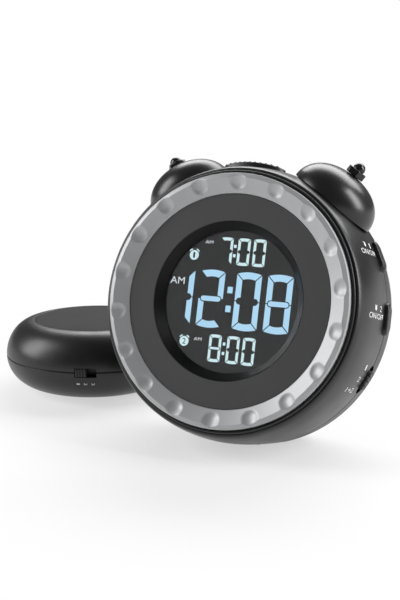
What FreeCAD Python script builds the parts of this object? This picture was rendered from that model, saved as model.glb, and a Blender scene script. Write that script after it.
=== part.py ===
import FreeCAD, Part
import math
import os

V = FreeCAD.Vector
os.makedirs("parts", exist_ok=True)

# Clock as a whole: the drum's axis leans back, the face centre stands over the floor, and the rubber
# base pad lies at the origin.
LEAN = 16.0
FACE_HEIGHT = 62.4
FACE_SETBACK = 23.0

# Flats that stand for a full round: large turned forms, their hidden insides, small posts, and the
# ends of slots.
ROUND_SIDES = 36
INSIDE_SIDES = 36
POST_SIDES = 10
PILL_STEPS = 4
OVAL_SIDES = 24
CAN_SIDES = 20

# Drum: a front housing and a rear cover that meet at the seam. Depths count back from the face.
WALL = 2.2
LIP_RADIUS = 53.8
LIP_DEPTH = 1.0
LIP_CHAMFER = 0.7
CROWN_RADIUS = 56.1
CROWN_DEPTH = 11.0
SEAM_RADIUS = 57.0
SEAM_DEPTH = 30.6
SEAM_GROOVE = 0.35
BELLY_RISE = 0.1
BELLY_DEPTH = 36.0
REAR_RADIUS = 44.0
DRUM_DEPTH = 54.0
REGISTER_LENGTH = 2.4
BASE_CUT = 0.8
BEAD_WIDTH = 1.2
BEAD_HEIGHT = 1.3
BEAD_GROOVE = 0.45

# Silver ring, dished, with scoops cut along the radius.
RING_INNER_RADIUS = 43.0
RING_OUTER_RADIUS = 50.9
RING_RIDGE_RADIUS = 49.0
RING_RIDGE_RISE = 2.9
RING_EDGE_RISE = 2.1
RING_SEAT_DEPTH = 1.2
SCOOP_COUNT = 18
SCOOP_RADIUS = 4.4
SCOOP_BITE = 1.2
SCOOP_INNER_RADIUS = 44.4
SCOOP_SIDES = 16
SCOOP_STEPS = 2

# Window: matt plate, gloss bevel, lens, panel, light guide and the tray that holds them.
PLATE_INNER_RADIUS = 32.0
PLATE_DEPTH = 0.3
BEVEL_RADIUS = 28.65
BEVEL_DEPTH = 3.8
BEVEL_WALL = 1.4
FLANGE_INNER_RADIUS = 41.0
LENS_RADIUS = 31.0
LENS_THICKNESS = 1.2
PANEL_HALF = 29.3
PANEL_THICKNESS = 2.6
GUIDE_THICKNESS = 3.0
TRAY_WALL = 1.6
TRAY_BACK = 1.1
CORNER_CLIP = 12.0

# Boards and their fixings.
BOARD_RADIUS = 45.4
BOARD_FLAT = 39.0
BOARD_THICKNESS = 1.6
POST_CIRCLE = 42.6
POST_RADIUS = 2.6
SCREW_RADIUS = 1.0
SCREW_HEAD_RADIUS = 2.0
SCREW_HEAD_HEIGHT = 1.5
SCREW_BITE = 5.0

# Bells, each on a stud through a post, held by a flanged acorn nut.
BELL_ANGLE = 34.7
BELL_RADIUS = 18.7
BELL_HEIGHT = 13.9
BELL_WALL = 1.0
BELL_RIM_DISTANCE = 54.7
BELL_DEPTH = 24.4
BELL_POWER = 2.15
BELL_STEPS = 5
BELL_SIDES_ROUND = 32
BELL_POST_RADIUS = 4.0
STUD_RADIUS = 1.5
STUD_NUT_RADIUS = 2.9
STUD_NUT_HEIGHT = 2.2
FINIAL_FLANGE = 4.4
FINIAL_FLANGE_HEIGHT = 2.8
FINIAL_RADIUS = 2.6
FINIAL_HEIGHT = 5.9
FINIAL_SIDES = 16
STUD_REACH = 3.8

# Clearances.
GAP = 0.3
WALL_GAP = 0.4

# Snooze key on top.
SNOOZE_DEPTH = 13.9
SNOOZE_HALF_WIDTH = 13.5
SNOOZE_HALF_DEPTH = 6.5
SNOOZE_TOP = 57.7
SNOOZE_RIB_PITCH = 2.2
SNOOZE_RIB_BITE = 0.35
SNOOZE_TRAVEL = 1.2
SHELF_TOP = 43.5
SHELF_HALF_WIDTH = 8.0
SHELF_THICKNESS = 2.0

# Side keys and side slides, which straddle the seam.
SIDE_DEPTH = 30.2
KEY_ANGLES = (26.1, 0.1)
SLIDE_ANGLE = -25.9
KEY_LENGTH = 13.0
KEY_WIDTH = 5.4
KEY_RISE = 1.6
FLANGE_EDGE = 1.1
FLANGE_THICKNESS = 0.9
KNOB_LENGTH = 8.6
KNOB_WIDTH = 5.0
KNOB_RISE = 1.3
KNOB_TRAVEL = 1.9
KNOB_TEETH = 4
KNOB_TOOTH_DEPTH = 0.7
STRIP_RADIUS = 48.0
STRIP_THICKNESS = 1.2
STRIP_HALF_ANGLE = 35.0
STRIP_WIDTH = 10.0
SWITCH_HEIGHT = 2.5
SWITCH_SIZE = 6.0
LEVER = 1.6
LEVER_ROOM = 1.2

# Back of the clock.
REAR_KEY_X = 30.0
REAR_KEY_Y = 0.0
REAR_KEY_RADIUS = 4.0
REAR_KEY_RISE = 0.8
REAR_KEY_TRAVEL = 0.8
SPEAKER_Y = -15.0
SPEAKER_RADIUS = 18.0
SPEAKER_RIM = 2.0
SPEAKER_DEPTH = 11.0
GRILLE_RADIUS = 15.0
GRILLE_PITCH = 4.0
GRILLE_SLOT = 1.8
DOOR_Y = 20.5
DOOR_WIDTH = 48.0
DOOR_HEIGHT = 24.0
DOOR_THICKNESS = 1.6
DOOR_LEDGE = 1.4
CELL_TRAY_WALL = 1.6
CELL_RADIUS = 5.2
CELL_LENGTH = 44.0
CONTACT_THICKNESS = 0.6
SOCKET_X = 29.0
SOCKET_Y = -21.0
SOCKET_WIDTH = 8.9
SOCKET_HEIGHT = 3.2
SOCKET_LENGTH = 7.0
REAR_SCREW_CIRCLE = 49.4
REAR_SCREW_ANGLES = (90.0, -50.0, -130.0)
REAR_SCREW_WELL = 2.4
REAR_TUBE_RADIUS = 3.4
BOSS_LENGTH = 8.0

# Base pad.
PAD_WIDTH = 22.0
PAD_LENGTH = 20.0
PAD_THICKNESS = 1.6
PAD_CLIP = 2.0

# Bed shaker.
SHAKER_X = -99.2
SHAKER_Y = 44.5
SHAKER_TURN = 23.7
SHAKER_RADIUS = 43.2
SHAKER_SEAM = 16.7
SHAKER_HEIGHT = 33.2
SHAKER_TOP_RADIUS = 29.4
SHAKER_BASE_RADIUS = 24.0
SHAKER_WALL = 2.2
SHAKER_STEPS = 4
SHAKER_INSIDE_STEPS = 2
INLAY_THICKNESS = 0.8
FOOT_RADIUS = 22.0
FOOT_WIDTH = 4.0
FOOT_THICKNESS = 1.6
FOOT_PROUD = 0.8
LEVEL_SLOT_LENGTH = 10.2
LEVEL_SLOT_HEIGHT = 4.4
LEVEL_KNOB_LENGTH = 5.2
LEVEL_KNOB_RISE = 0.5
LEVEL_TRAVEL = 4.4
LEVEL_RIBS = 4
LEVEL_LIFT = 2.0
LEVEL_ROOM = 3.7
MOTOR_RADIUS = 10.0
MOTOR_LENGTH = 25.0
MOTOR_START = -17.0
MOTOR_AXIS_HEIGHT = 16.0
SHAFT_RADIUS = 1.0
WEIGHT_RADIUS = 11.0
WEIGHT_LENGTH = 11.0
BATTERY_RADIUS = 7.0
BATTERY_LENGTH = 50.0
BATTERY_Y = 20.5
BATTERY_HEIGHT = 15.0
STRAP_WIDTH = 5.0
STRAP_THICKNESS = 1.4
STRAP_REACH = 14.4
SADDLE_TOP = 9.0
SHAFT_IN = 4.0
SHAKER_BOARD_HEIGHT = 13.0
SHAKER_SCREW_CIRCLE = 29.0
WELL_TOP = 6.0


def export(name, shape):
    shape.exportStep("parts/" + name + ".step")


def fuse(shapes):
    whole = shapes[0]
    for other in shapes[1:]:
        whole = whole.fuse(other)
    return whole.removeSplitter()


def box(x0, x1, y0, y1, z0, z1):
    return Part.makeBox(x1 - x0, y1 - y0, z1 - z0, V(x0, y0, z0))


def circle_points(radius, sides):
    """Corners of a round with as many flats, one of which is square to +X."""
    turns = [(k + 0.5) * 2 * math.pi / sides for k in range(sides)]
    return [(radius * math.cos(t), radius * math.sin(t)) for t in turns]


def prism(corners, z0, z1):
    outline = [V(x, y, z0) for x, y in corners]
    return Part.Face(Part.makePolygon(outline + [outline[0]])).extrude(V(0, 0, z1 - z0))


def rod(radius, x, y, z0, z1, sides=POST_SIDES):
    bar = prism(circle_points(radius, sides), z0, z1)
    bar.translate(V(x, y, 0))
    return bar


def disc(radius, z0, z1):
    return rod(radius, 0, 0, z0, z1, ROUND_SIDES)


def shaft(radius, x, y, z0, z1):
    return Part.makeCylinder(radius, z1 - z0, V(x, y, z0))


def along_x(shape):
    """Turns a piece built along Z so that it runs along X."""
    placed = shape.copy()
    placed.rotate(V(0, 0, 0), V(0, 1, 0), 90)
    return placed


def turned(points, sides=ROUND_SIDES):
    """A turned solid from a closed outline of (radius, height) points.

    The round is drawn with many flats, a few hundredths of a millimetre off the true round.
    """
    rings = [[V(x, y, z) for x, y in circle_points(r, sides)] for r, z in points]
    faces = []
    for i, ring in enumerate(rings):
        after = (i + 1) % len(rings)
        if points[i][0] == 0 and points[after][0] == 0:
            continue
        for k in range(sides):
            m = (k + 1) % sides
            corners = [ring[k], rings[after][k], rings[after][m], ring[m]]
            if points[i][0] == 0:
                corners = corners[:3]
            if points[after][0] == 0:
                corners = [corners[0], corners[1], corners[3]]
            faces.append(Part.Face(Part.makePolygon(corners + [corners[0]])))
    solid = Part.makeSolid(Part.makeShell(faces))
    if solid.Volume < 0:
        solid.reverse()
    return solid.removeSplitter()


def depth_turned(points, sides=ROUND_SIDES):
    """The same, with each point as (radius, depth behind the face)."""
    return turned([(r, -d) for r, d in points], sides)


def round_outline(length, width, steps=PILL_STEPS):
    """Corners of a slot shape, long in the first direction."""
    half = (length - width) / 2
    turns = [-math.pi / 2 + math.pi * k / steps for k in range(steps + 1)]
    right = [(half + width / 2 * math.cos(t), width / 2 * math.sin(t)) for t in turns]
    return right + [(-x, -y) for x, y in right]


def pill(length, width, x0, x1):
    """A bar along X with a round-ended section, long in Y."""
    bar = prism([(-z, y) for y, z in round_outline(length, width)], x0, x1)
    return along_x(bar)


def radial(shape, angle, depth):
    """Turns a piece built along +X to an angle round the drum's axis, at a depth."""
    moved = shape.copy()
    moved.rotate(V(0, 0, 0), V(0, 0, 1), angle)
    moved.translate(V(0, 0, -depth))
    return moved


def stand(shape):
    """Leans a piece of the clock back and stands it over the floor."""
    placed = shape.copy()
    placed.rotate(V(0, 0, 0), V(1, 0, 0), 90 - LEAN)
    placed.translate(V(0, -FACE_SETBACK, FACE_HEIGHT))
    return placed


def lie(shape):
    """Takes a piece that was built over the floor into the clock's own leaning frame."""
    placed = shape.copy()
    placed.translate(V(0, FACE_SETBACK, -FACE_HEIGHT))
    placed.rotate(V(0, 0, 0), V(1, 0, 0), LEAN - 90)
    return placed


def floor_half(height):
    """All that lies above a level over the floor, in the clock's frame."""
    return lie(box(-80, 80, -80, 80, height, 160))


# Drum forms that several pieces share.
CROWN_SLOPE = (CROWN_RADIUS - LIP_RADIUS) / (CROWN_DEPTH - LIP_DEPTH)
SIDE_SLOPE = (SEAM_RADIUS - CROWN_RADIUS) / (SEAM_DEPTH - CROWN_DEPTH)
FRONT_WALL_BACK = RING_SEAT_DEPTH + WALL


def side_radius(depth):
    """The drum's outer radius between the lip and the seam."""
    slope = CROWN_SLOPE if depth < CROWN_DEPTH else SIDE_SLOPE
    return CROWN_RADIUS + slope * (depth - CROWN_DEPTH)


def drum_solid(offset, sides=ROUND_SIDES):
    """The drum's outer form, grown by an offset (negative goes into the wall)."""
    belly = SEAM_RADIUS + BELLY_RISE
    form = depth_turned([
        (0, LIP_DEPTH - offset),
        (LIP_RADIUS + offset, LIP_DEPTH - offset),
        (CROWN_RADIUS + offset, CROWN_DEPTH),
        (SEAM_RADIUS + offset, SEAM_DEPTH),
        (belly + offset, BELLY_DEPTH),
        (belly - 2.6 + offset, BELLY_DEPTH + 8.0),
        (belly - 6.6 + offset, BELLY_DEPTH + 13.6 + offset * 0.4),
        (REAR_RADIUS + offset * 0.6, DRUM_DEPTH + offset),
        (0, DRUM_DEPTH + offset),
    ], sides)
    return form.common(floor_half(BASE_CUT - offset))


def half_drum(form, depth0, depth1):
    return form.common(disc(80, -depth1, -depth0))


outer_form = drum_solid(0)
inner_form = drum_solid(-WALL, INSIDE_SIDES)
flange_outside = drum_solid(-WALL - WALL_GAP, INSIDE_SIDES)
flange_middle = drum_solid(-WALL - WALL_GAP - FLANGE_THICKNESS / 2, INSIDE_SIDES)
flange_inside = drum_solid(-WALL - WALL_GAP - FLANGE_THICKNESS, INSIDE_SIDES)


# Side keys and knobs.
def key_slot(length, width):
    return pill(length + 2 * GAP, width + 2 * GAP, STRIP_RADIUS, SEAM_RADIUS + 5)


def under_wall(shape):
    """A flange that follows the wall's inside."""
    return shape.common(flange_outside).cut(flange_inside)


def side_key(angle):
    stem = pill(KEY_LENGTH, KEY_WIDTH, STRIP_RADIUS, SEAM_RADIUS + 5)
    stem = radial(stem, angle, SIDE_DEPTH).common(drum_solid(KEY_RISE))
    stem = stem.cut(flange_middle)
    foot = pill(KEY_LENGTH + 2 * FLANGE_EDGE, KEY_WIDTH + 2 * FLANGE_EDGE, STRIP_RADIUS, SEAM_RADIUS)
    return stem.fuse(under_wall(radial(foot, angle, SIDE_DEPTH))).removeSplitter()


STRIP_TOP = STRIP_RADIUS + STRIP_THICKNESS
SWITCH_TOP = STRIP_TOP + SWITCH_HEIGHT
KNOB_PLATE_TOP = SWITCH_TOP + LEVER_ROOM


def side_knob(angle):
    cap = pill(KNOB_LENGTH, KNOB_WIDTH, KNOB_PLATE_TOP, SEAM_RADIUS + 5)
    cap = radial(cap, angle, SIDE_DEPTH).common(drum_solid(KNOB_RISE))
    pitch = (KNOB_LENGTH - 2 * KNOB_TOOTH_DEPTH) / KNOB_TEETH
    for i in range(KNOB_TEETH - 1):
        y = (i - (KNOB_TEETH - 2) / 2) * pitch
        notch = box(SEAM_RADIUS + KNOB_RISE - KNOB_TOOTH_DEPTH, SEAM_RADIUS + 5, y - pitch / 4, y + pitch / 4,
                    -KNOB_WIDTH, KNOB_WIDTH)
        cap = cap.cut(radial(notch, angle, SIDE_DEPTH))
    length = KNOB_LENGTH + 2 * (KNOB_TRAVEL + GAP)
    plate = pill(length, KNOB_WIDTH + 2 * FLANGE_EDGE, KNOB_PLATE_TOP - FLANGE_THICKNESS, KNOB_PLATE_TOP)
    lever = box(SWITCH_TOP - LEVER, KNOB_PLATE_TOP, -LEVER / 2, LEVER / 2, -LEVER / 2, LEVER / 2)
    return fuse([cap, radial(plate, angle, SIDE_DEPTH), radial(lever, angle, SIDE_DEPTH)])


strip_top = disc(STRIP_TOP, -DRUM_DEPTH, 0)


def tact_switch(angle):
    body = box(STRIP_TOP - 1, SWITCH_TOP, -SWITCH_SIZE / 2, SWITCH_SIZE / 2, -SWITCH_SIZE / 2, SWITCH_SIZE / 2)
    return radial(body, angle, SIDE_DEPTH).cut(strip_top)


def slide_switch(angle):
    half = SWITCH_SIZE
    body = box(STRIP_TOP - 1, SWITCH_TOP, -half, half, -SWITCH_SIZE / 2, SWITCH_SIZE / 2)
    reach = LEVER / 2 + KNOB_TRAVEL + GAP
    well = box(SWITCH_TOP - LEVER - GAP, SWITCH_TOP, -reach, reach, -LEVER / 2 - GAP, LEVER / 2 + GAP)
    return radial(body.cut(well), angle, SIDE_DEPTH).cut(strip_top)


def switch_strip(middle):
    ring = disc(STRIP_TOP, -STRIP_WIDTH / 2, STRIP_WIDTH / 2)
    ring = ring.cut(disc(STRIP_RADIUS, -STRIP_WIDTH, STRIP_WIDTH))
    reach = 2 * STRIP_TOP
    wedge = Part.Face(Part.makePolygon([
        V(0, 0, -STRIP_WIDTH),
        V(reach, -reach * math.tan(math.radians(STRIP_HALF_ANGLE)), -STRIP_WIDTH),
        V(reach, reach * math.tan(math.radians(STRIP_HALF_ANGLE)), -STRIP_WIDTH),
        V(0, 0, -STRIP_WIDTH),
    ])).extrude(V(0, 0, 2 * STRIP_WIDTH))
    return radial(ring.common(wedge), middle, SIDE_DEPTH)


def same(angle):
    return angle


def mirrored(angle):
    return 180 - angle


# Snooze key: an oval with ribs across its top, in an oval hole.
def oval(half_width, half_depth, y0, y1):
    corners = [(x * half_width, -y * half_depth) for x, y in circle_points(1, OVAL_SIDES)]
    solid = prism(corners, y0, y1)
    solid.rotate(V(0, 0, 0), V(1, 0, 0), -90)
    solid.translate(V(0, 0, -SNOOZE_DEPTH))
    return solid


snooze_inner = side_radius(SNOOZE_DEPTH) - WALL
snooze_switch_top = SHELF_TOP + BOARD_THICKNESS + SWITCH_HEIGHT


def snooze_key():
    top = oval(SNOOZE_HALF_WIDTH, SNOOZE_HALF_DEPTH, snooze_inner - 4, SNOOZE_TOP + 2)
    top = top.common(disc(SNOOZE_TOP, -DRUM_DEPTH, 0))
    top = top.cut(flange_middle)
    ribs = int(2 * SNOOZE_HALF_WIDTH / SNOOZE_RIB_PITCH)
    for i in range(ribs):
        x = (i - (ribs - 1) / 2) * SNOOZE_RIB_PITCH
        y = math.sqrt(SNOOZE_TOP ** 2 - x ** 2) - SNOOZE_RIB_BITE
        groove = box(x - SNOOZE_RIB_PITCH / 5, x + SNOOZE_RIB_PITCH / 5, y, y + 3,
                     -SNOOZE_DEPTH - SNOOZE_HALF_DEPTH, -SNOOZE_DEPTH + SNOOZE_HALF_DEPTH)
        top = top.cut(groove)
    edge = oval(SNOOZE_HALF_WIDTH + FLANGE_EDGE, SNOOZE_HALF_DEPTH + FLANGE_EDGE, snooze_inner - 6, SNOOZE_TOP)
    post_low = snooze_switch_top + SNOOZE_TRAVEL + GAP
    post = box(-2, 2, post_low, snooze_inner - WALL_GAP - FLANGE_THICKNESS / 2,
               -SNOOZE_DEPTH - 2, -SNOOZE_DEPTH + 2)
    return fuse([top, under_wall(edge), post])


# Rubber base pad, which sits in a pocket across the seam.
def base_pad():
    half_x = PAD_WIDTH / 2
    half_y = PAD_LENGTH / 2
    right = [(half_x, PAD_CLIP - half_y), (half_x, half_y - PAD_CLIP), (half_x - PAD_CLIP, half_y)]
    right = [(half_x - PAD_CLIP, -half_y)] + right
    return prism(right + [(-x, -y) for x, y in right], 0, PAD_THICKNESS)


# Front housing: lip, bead, ring seat, board posts, snooze shelf, strip ribs and bell posts.
def post_places():
    for angle in (45, 135, 225, 315):
        yield POST_CIRCLE * math.cos(math.radians(angle)), POST_CIRCLE * math.sin(math.radians(angle))


LENS_FRONT = BEVEL_DEPTH
LENS_BACK = LENS_FRONT + LENS_THICKNESS
PANEL_FRONT = LENS_BACK + GAP
PANEL_BACK = PANEL_FRONT + PANEL_THICKNESS
GUIDE_BACK = PANEL_BACK + GUIDE_THICKNESS
BOARD_FRONT = GUIDE_BACK + TRAY_BACK
BOARD_BACK = BOARD_FRONT + BOARD_THICKNESS


def bell_post(angle):
    low = side_radius(BELL_DEPTH) - WALL / 2
    high = BELL_RIM_DISTANCE + BELL_HEIGHT - BELL_WALL
    return radial(along_x(rod(BELL_POST_RADIUS, 0, 0, low, high)), angle, BELL_DEPTH)


def stud_hole(angle):
    hole = along_x(rod(STUD_RADIUS, 0, 0, STRIP_RADIUS, STRIP_RADIUS + 40))
    return radial(hole, angle, BELL_DEPTH)


BELL_SIDES = {"left": 90 + BELL_ANGLE, "right": 90 - BELL_ANGLE}


def front_housing():
    pocket = RING_OUTER_RADIUS + WALL_GAP
    bead = pocket + BEAD_WIDTH
    groove = bead + BEAD_GROOVE
    shell = depth_turned([
        (FLANGE_INNER_RADIUS, RING_SEAT_DEPTH),
        (pocket, RING_SEAT_DEPTH),
        (pocket, RING_SEAT_DEPTH - BEAD_HEIGHT),
        (bead, RING_SEAT_DEPTH - BEAD_HEIGHT),
        (bead, RING_SEAT_DEPTH + BEAD_GROOVE),
        (groove, LIP_DEPTH),
        (LIP_RADIUS, LIP_DEPTH + LIP_CHAMFER),
        (CROWN_RADIUS, CROWN_DEPTH),
        (SEAM_RADIUS, SEAM_DEPTH),
        (SEAM_RADIUS - WALL, SEAM_DEPTH),
        (CROWN_RADIUS - WALL, CROWN_DEPTH),
        (side_radius(FRONT_WALL_BACK) - WALL, FRONT_WALL_BACK),
        (FLANGE_INNER_RADIUS, FRONT_WALL_BACK),
    ])
    shell = shell.common(floor_half(BASE_CUT))
    parts = [shell]
    for x, y in post_places():
        parts.append(rod(POST_RADIUS, x, y, -BOARD_FRONT, -FRONT_WALL_BACK + 0.5))
    parts.append(box(-SHELF_HALF_WIDTH, SHELF_HALF_WIDTH, SHELF_TOP - SHELF_THICKNESS, SHELF_TOP,
                     -SNOOZE_DEPTH - SNOOZE_HALF_DEPTH, -RING_SEAT_DEPTH - WALL / 2))
    for angle in (0, 180):
        for way in (-1, 1):
            rib = box(STRIP_RADIUS - SHELF_THICKNESS, STRIP_RADIUS, -2.5, 2.5,
                      -SIDE_DEPTH - STRIP_WIDTH / 2, -RING_SEAT_DEPTH - WALL / 2)
            rib = radial(rib, angle + way * (STRIP_HALF_ANGLE - 4), 0)
            parts.append(rib.common(disc(STRIP_RADIUS, -DRUM_DEPTH, 0)))
    for angle in BELL_SIDES.values():
        parts.append(bell_post(angle))
    for angle in REAR_SCREW_ANGLES:
        boss = rod(POST_RADIUS, REAR_SCREW_CIRCLE, 0, -SEAM_DEPTH, -SEAM_DEPTH + BOSS_LENGTH)
        web = box(REAR_SCREW_CIRCLE, SEAM_RADIUS - WALL / 2, -1, 1, -SEAM_DEPTH + REGISTER_LENGTH + GAP,
                  -SEAM_DEPTH + BOSS_LENGTH)
        parts.append(radial(boss.fuse(web).cut(disc(REAR_SCREW_CIRCLE - POST_RADIUS, -80, 0)), angle, 0))
    shell = fuse(parts)
    for x, y in rear_screw_places():
        shell = shell.cut(rod(SCREW_RADIUS, x, y, -SEAM_DEPTH - 1, -SEAM_DEPTH + BOSS_LENGTH))
    for x, y in post_places():
        shell = shell.cut(rod(SCREW_RADIUS, x, y, -BOARD_FRONT, -BOARD_FRONT + SCREW_BITE))
    for angle in BELL_SIDES.values():
        shell = shell.cut(stud_hole(angle))
    shell = shell.cut(oval(SNOOZE_HALF_WIDTH + GAP, SNOOZE_HALF_DEPTH + GAP, snooze_inner - 5, SNOOZE_TOP + 5))
    return shell.cut(lie(base_pad())).cut(side_openings())


def side_openings():
    tools = []
    for place in (same, mirrored):
        for angle in KEY_ANGLES:
            tools.append(radial(key_slot(KEY_LENGTH, KEY_WIDTH), place(angle), SIDE_DEPTH))
        slot = key_slot(KNOB_LENGTH + 2 * KNOB_TRAVEL, KNOB_WIDTH)
        tools.append(radial(slot, place(SLIDE_ANGLE), SIDE_DEPTH))
    return Part.makeCompound(tools).cut(disc(STRIP_TOP + 2, -DRUM_DEPTH, 0))


def foot_space():
    """Room behind the wall for the feet of the side keys and knobs over their whole travel."""
    length = KEY_LENGTH + 2 * (FLANGE_EDGE + GAP)
    width = KEY_WIDTH + 2 * (FLANGE_EDGE + GAP)
    knob_length = KNOB_LENGTH + 4 * (KNOB_TRAVEL + GAP)
    tools = []
    for place in (same, mirrored):
        for angle in KEY_ANGLES:
            tools.append(radial(pill(length, width, STRIP_RADIUS, SEAM_RADIUS), place(angle), SIDE_DEPTH))
        tools.append(radial(pill(knob_length, width, STRIP_RADIUS, SEAM_RADIUS), place(SLIDE_ANGLE), SIDE_DEPTH))
    return Part.makeCompound(tools).common(inner_form)


# Rear cover: drum back with grille, door opening, cell tray, key hole, socket hole and screw posts.
TRAY_DEPTH = DRUM_DEPTH - DOOR_THICKNESS - GAP - 2 * CELL_RADIUS - 0.6
CELL_DEPTH = TRAY_DEPTH + CELL_RADIUS


def rear_screw_places():
    for angle in REAR_SCREW_ANGLES:
        yield REAR_SCREW_CIRCLE * math.cos(math.radians(angle)), REAR_SCREW_CIRCLE * math.sin(math.radians(angle))


def door_box(grow, depth0, depth1):
    return box(-DOOR_WIDTH / 2 - grow, DOOR_WIDTH / 2 + grow, DOOR_Y - DOOR_HEIGHT / 2 - grow,
               DOOR_Y + DOOR_HEIGHT / 2 + grow, -depth1, -depth0)


def rear_cover():
    back = half_drum(outer_form.cut(inner_form), SEAM_DEPTH, DRUM_DEPTH + 1)
    groove = disc(80, -SEAM_DEPTH - SEAM_GROOVE, -SEAM_DEPTH)
    back = back.cut(groove.cut(disc(SEAM_RADIUS - SEAM_GROOVE, -DRUM_DEPTH, 0)))
    tongue = SEAM_RADIUS - WALL - SIDE_SLOPE * REGISTER_LENGTH - 0.1
    register = depth_turned([
        (tongue - 1.2, SEAM_DEPTH - REGISTER_LENGTH),
        (tongue, SEAM_DEPTH - REGISTER_LENGTH),
        (tongue, SEAM_DEPTH),
        (SEAM_RADIUS - WALL / 2, SEAM_DEPTH),
        (SEAM_RADIUS - WALL / 2, SEAM_DEPTH + WALL),
        (tongue - 1.2, SEAM_DEPTH + WALL),
    ], INSIDE_SIDES).common(floor_half(BASE_CUT + WALL + 0.1)).cut(foot_space())
    tray = door_box(-DOOR_LEDGE + CELL_TRAY_WALL, TRAY_DEPTH - CELL_TRAY_WALL, DRUM_DEPTH - WALL / 2)
    parts = [back, register, tray]
    for x, y in rear_screw_places():
        parts.append(rod(REAR_TUBE_RADIUS, x, y, -DRUM_DEPTH, -SEAM_DEPTH).common(outer_form))
    cover = fuse(parts)
    cover = cover.cut(door_box(GAP, DRUM_DEPTH - DOOR_THICKNESS - GAP, DRUM_DEPTH + 1))
    cover = cover.cut(door_box(-DOOR_LEDGE, TRAY_DEPTH, DRUM_DEPTH))
    rows = int(2 * GRILLE_RADIUS / GRILLE_PITCH)
    for i in range(rows):
        y = (i - (rows - 1) / 2) * GRILLE_PITCH
        half = math.sqrt(GRILLE_RADIUS ** 2 - y ** 2)
        cover = cover.cut(box(-half, half, SPEAKER_Y + y - GRILLE_SLOT / 2, SPEAKER_Y + y + GRILLE_SLOT / 2,
                              -DRUM_DEPTH - 1, -DRUM_DEPTH + WALL))
    cover = cover.cut(rod(REAR_KEY_RADIUS + GAP, REAR_KEY_X, REAR_KEY_Y, -DRUM_DEPTH - 1, -DRUM_DEPTH + WALL))
    cover = cover.cut(box(SOCKET_X - SOCKET_WIDTH / 2 - GAP, SOCKET_X + SOCKET_WIDTH / 2 + GAP,
                          SOCKET_Y - SOCKET_HEIGHT / 2 - GAP, SOCKET_Y + SOCKET_HEIGHT / 2 + GAP,
                          -DRUM_DEPTH - 1, -DRUM_DEPTH + WALL))
    for x, y in rear_screw_places():
        cover = cover.cut(rod(REAR_SCREW_WELL, x, y, -DRUM_DEPTH - 1, -SEAM_DEPTH - WALL))
        cover = cover.cut(rod(SCREW_RADIUS + 0.2, x, y, -DRUM_DEPTH, -SEAM_DEPTH + 1))
    return cover.cut(lie(base_pad())).cut(side_openings())


# Bezel ring.
def scoop():
    """A capsule along +X that bites into the ring's dished face."""
    turns = [math.pi / 2 * i / SCOOP_STEPS for i in range(SCOOP_STEPS + 1)]
    outline = [(SCOOP_RADIUS * math.sin(t), -SCOOP_RADIUS * math.cos(t)) for t in turns]
    reach = 2 * (RING_OUTER_RADIUS - RING_INNER_RADIUS)
    capsule = along_x(turned([(0, -SCOOP_RADIUS)] + outline[1:] + [(SCOOP_RADIUS, reach), (0, reach)], SCOOP_SIDES))
    slope = math.atan2(RING_RIDGE_RISE, RING_RIDGE_RADIUS - RING_INNER_RADIUS)
    lift = SCOOP_RADIUS - SCOOP_BITE
    start = (SCOOP_INNER_RADIUS - RING_INNER_RADIUS) / math.cos(slope) + math.sqrt(SCOOP_RADIUS ** 2 - lift ** 2)
    capsule.translate(V(start, 0, lift))
    capsule.rotate(V(0, 0, 0), V(0, 1, 0), -math.degrees(slope))
    capsule.translate(V(RING_INNER_RADIUS, 0, 0))
    return capsule


def bezel_ring():
    ring = turned([
        (RING_INNER_RADIUS, -RING_SEAT_DEPTH),
        (RING_OUTER_RADIUS, -RING_SEAT_DEPTH),
        (RING_OUTER_RADIUS, RING_EDGE_RISE),
        (RING_RIDGE_RADIUS, RING_RIDGE_RISE),
        (RING_INNER_RADIUS, 0),
    ])
    tool = scoop()
    turn = 360 / SCOOP_COUNT
    return ring.cut(Part.makeCompound([radial(tool, (k + 0.5) * turn, 0) for k in range(SCOOP_COUNT)]))


# Window and what lies behind it.
def annulus(inner, outer, depth0, depth1):
    return depth_turned([(inner, depth1), (outer, depth1), (outer, depth0), (inner, depth0)])


def display_bevel():
    back = RING_SEAT_DEPTH + BEVEL_WALL
    rim = PLATE_INNER_RADIUS - 0.1
    return depth_turned([
        (rim, PLATE_DEPTH),
        (BEVEL_RADIUS, LENS_FRONT),
        (LENS_RADIUS + BEVEL_WALL, LENS_FRONT),
        (LENS_RADIUS + BEVEL_WALL, back),
        (FLANGE_INNER_RADIUS - 0.2, back),
        (FLANGE_INNER_RADIUS - 0.2, RING_SEAT_DEPTH),
        (rim, RING_SEAT_DEPTH),
    ])


def clipped_square(half, clip):
    inner = half - clip
    return [(half, -inner), (half, inner), (inner, half), (-inner, half),
            (-half, inner), (-half, -inner), (-inner, -half), (inner, -half)]


def display_tray():
    half = PANEL_HALF + 0.2
    clip = CORNER_CLIP
    outer = prism(clipped_square(half + TRAY_WALL, clip + 0.6 * TRAY_WALL), -BOARD_FRONT, -PANEL_FRONT)
    return outer.cut(prism(clipped_square(half, clip), -GUIDE_BACK, 0))


BOARD_CHIPS = ((-14, 8, 12, 12, 1.4), (10, 14, 7, 5, 1.2), (14, -6, 5, 9, 1.6), (-12, -16, 9, 4, 2.4),
               (2, -22, 4, 4, 3.0), (26, 10, 4, 12, 2.2))


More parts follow.
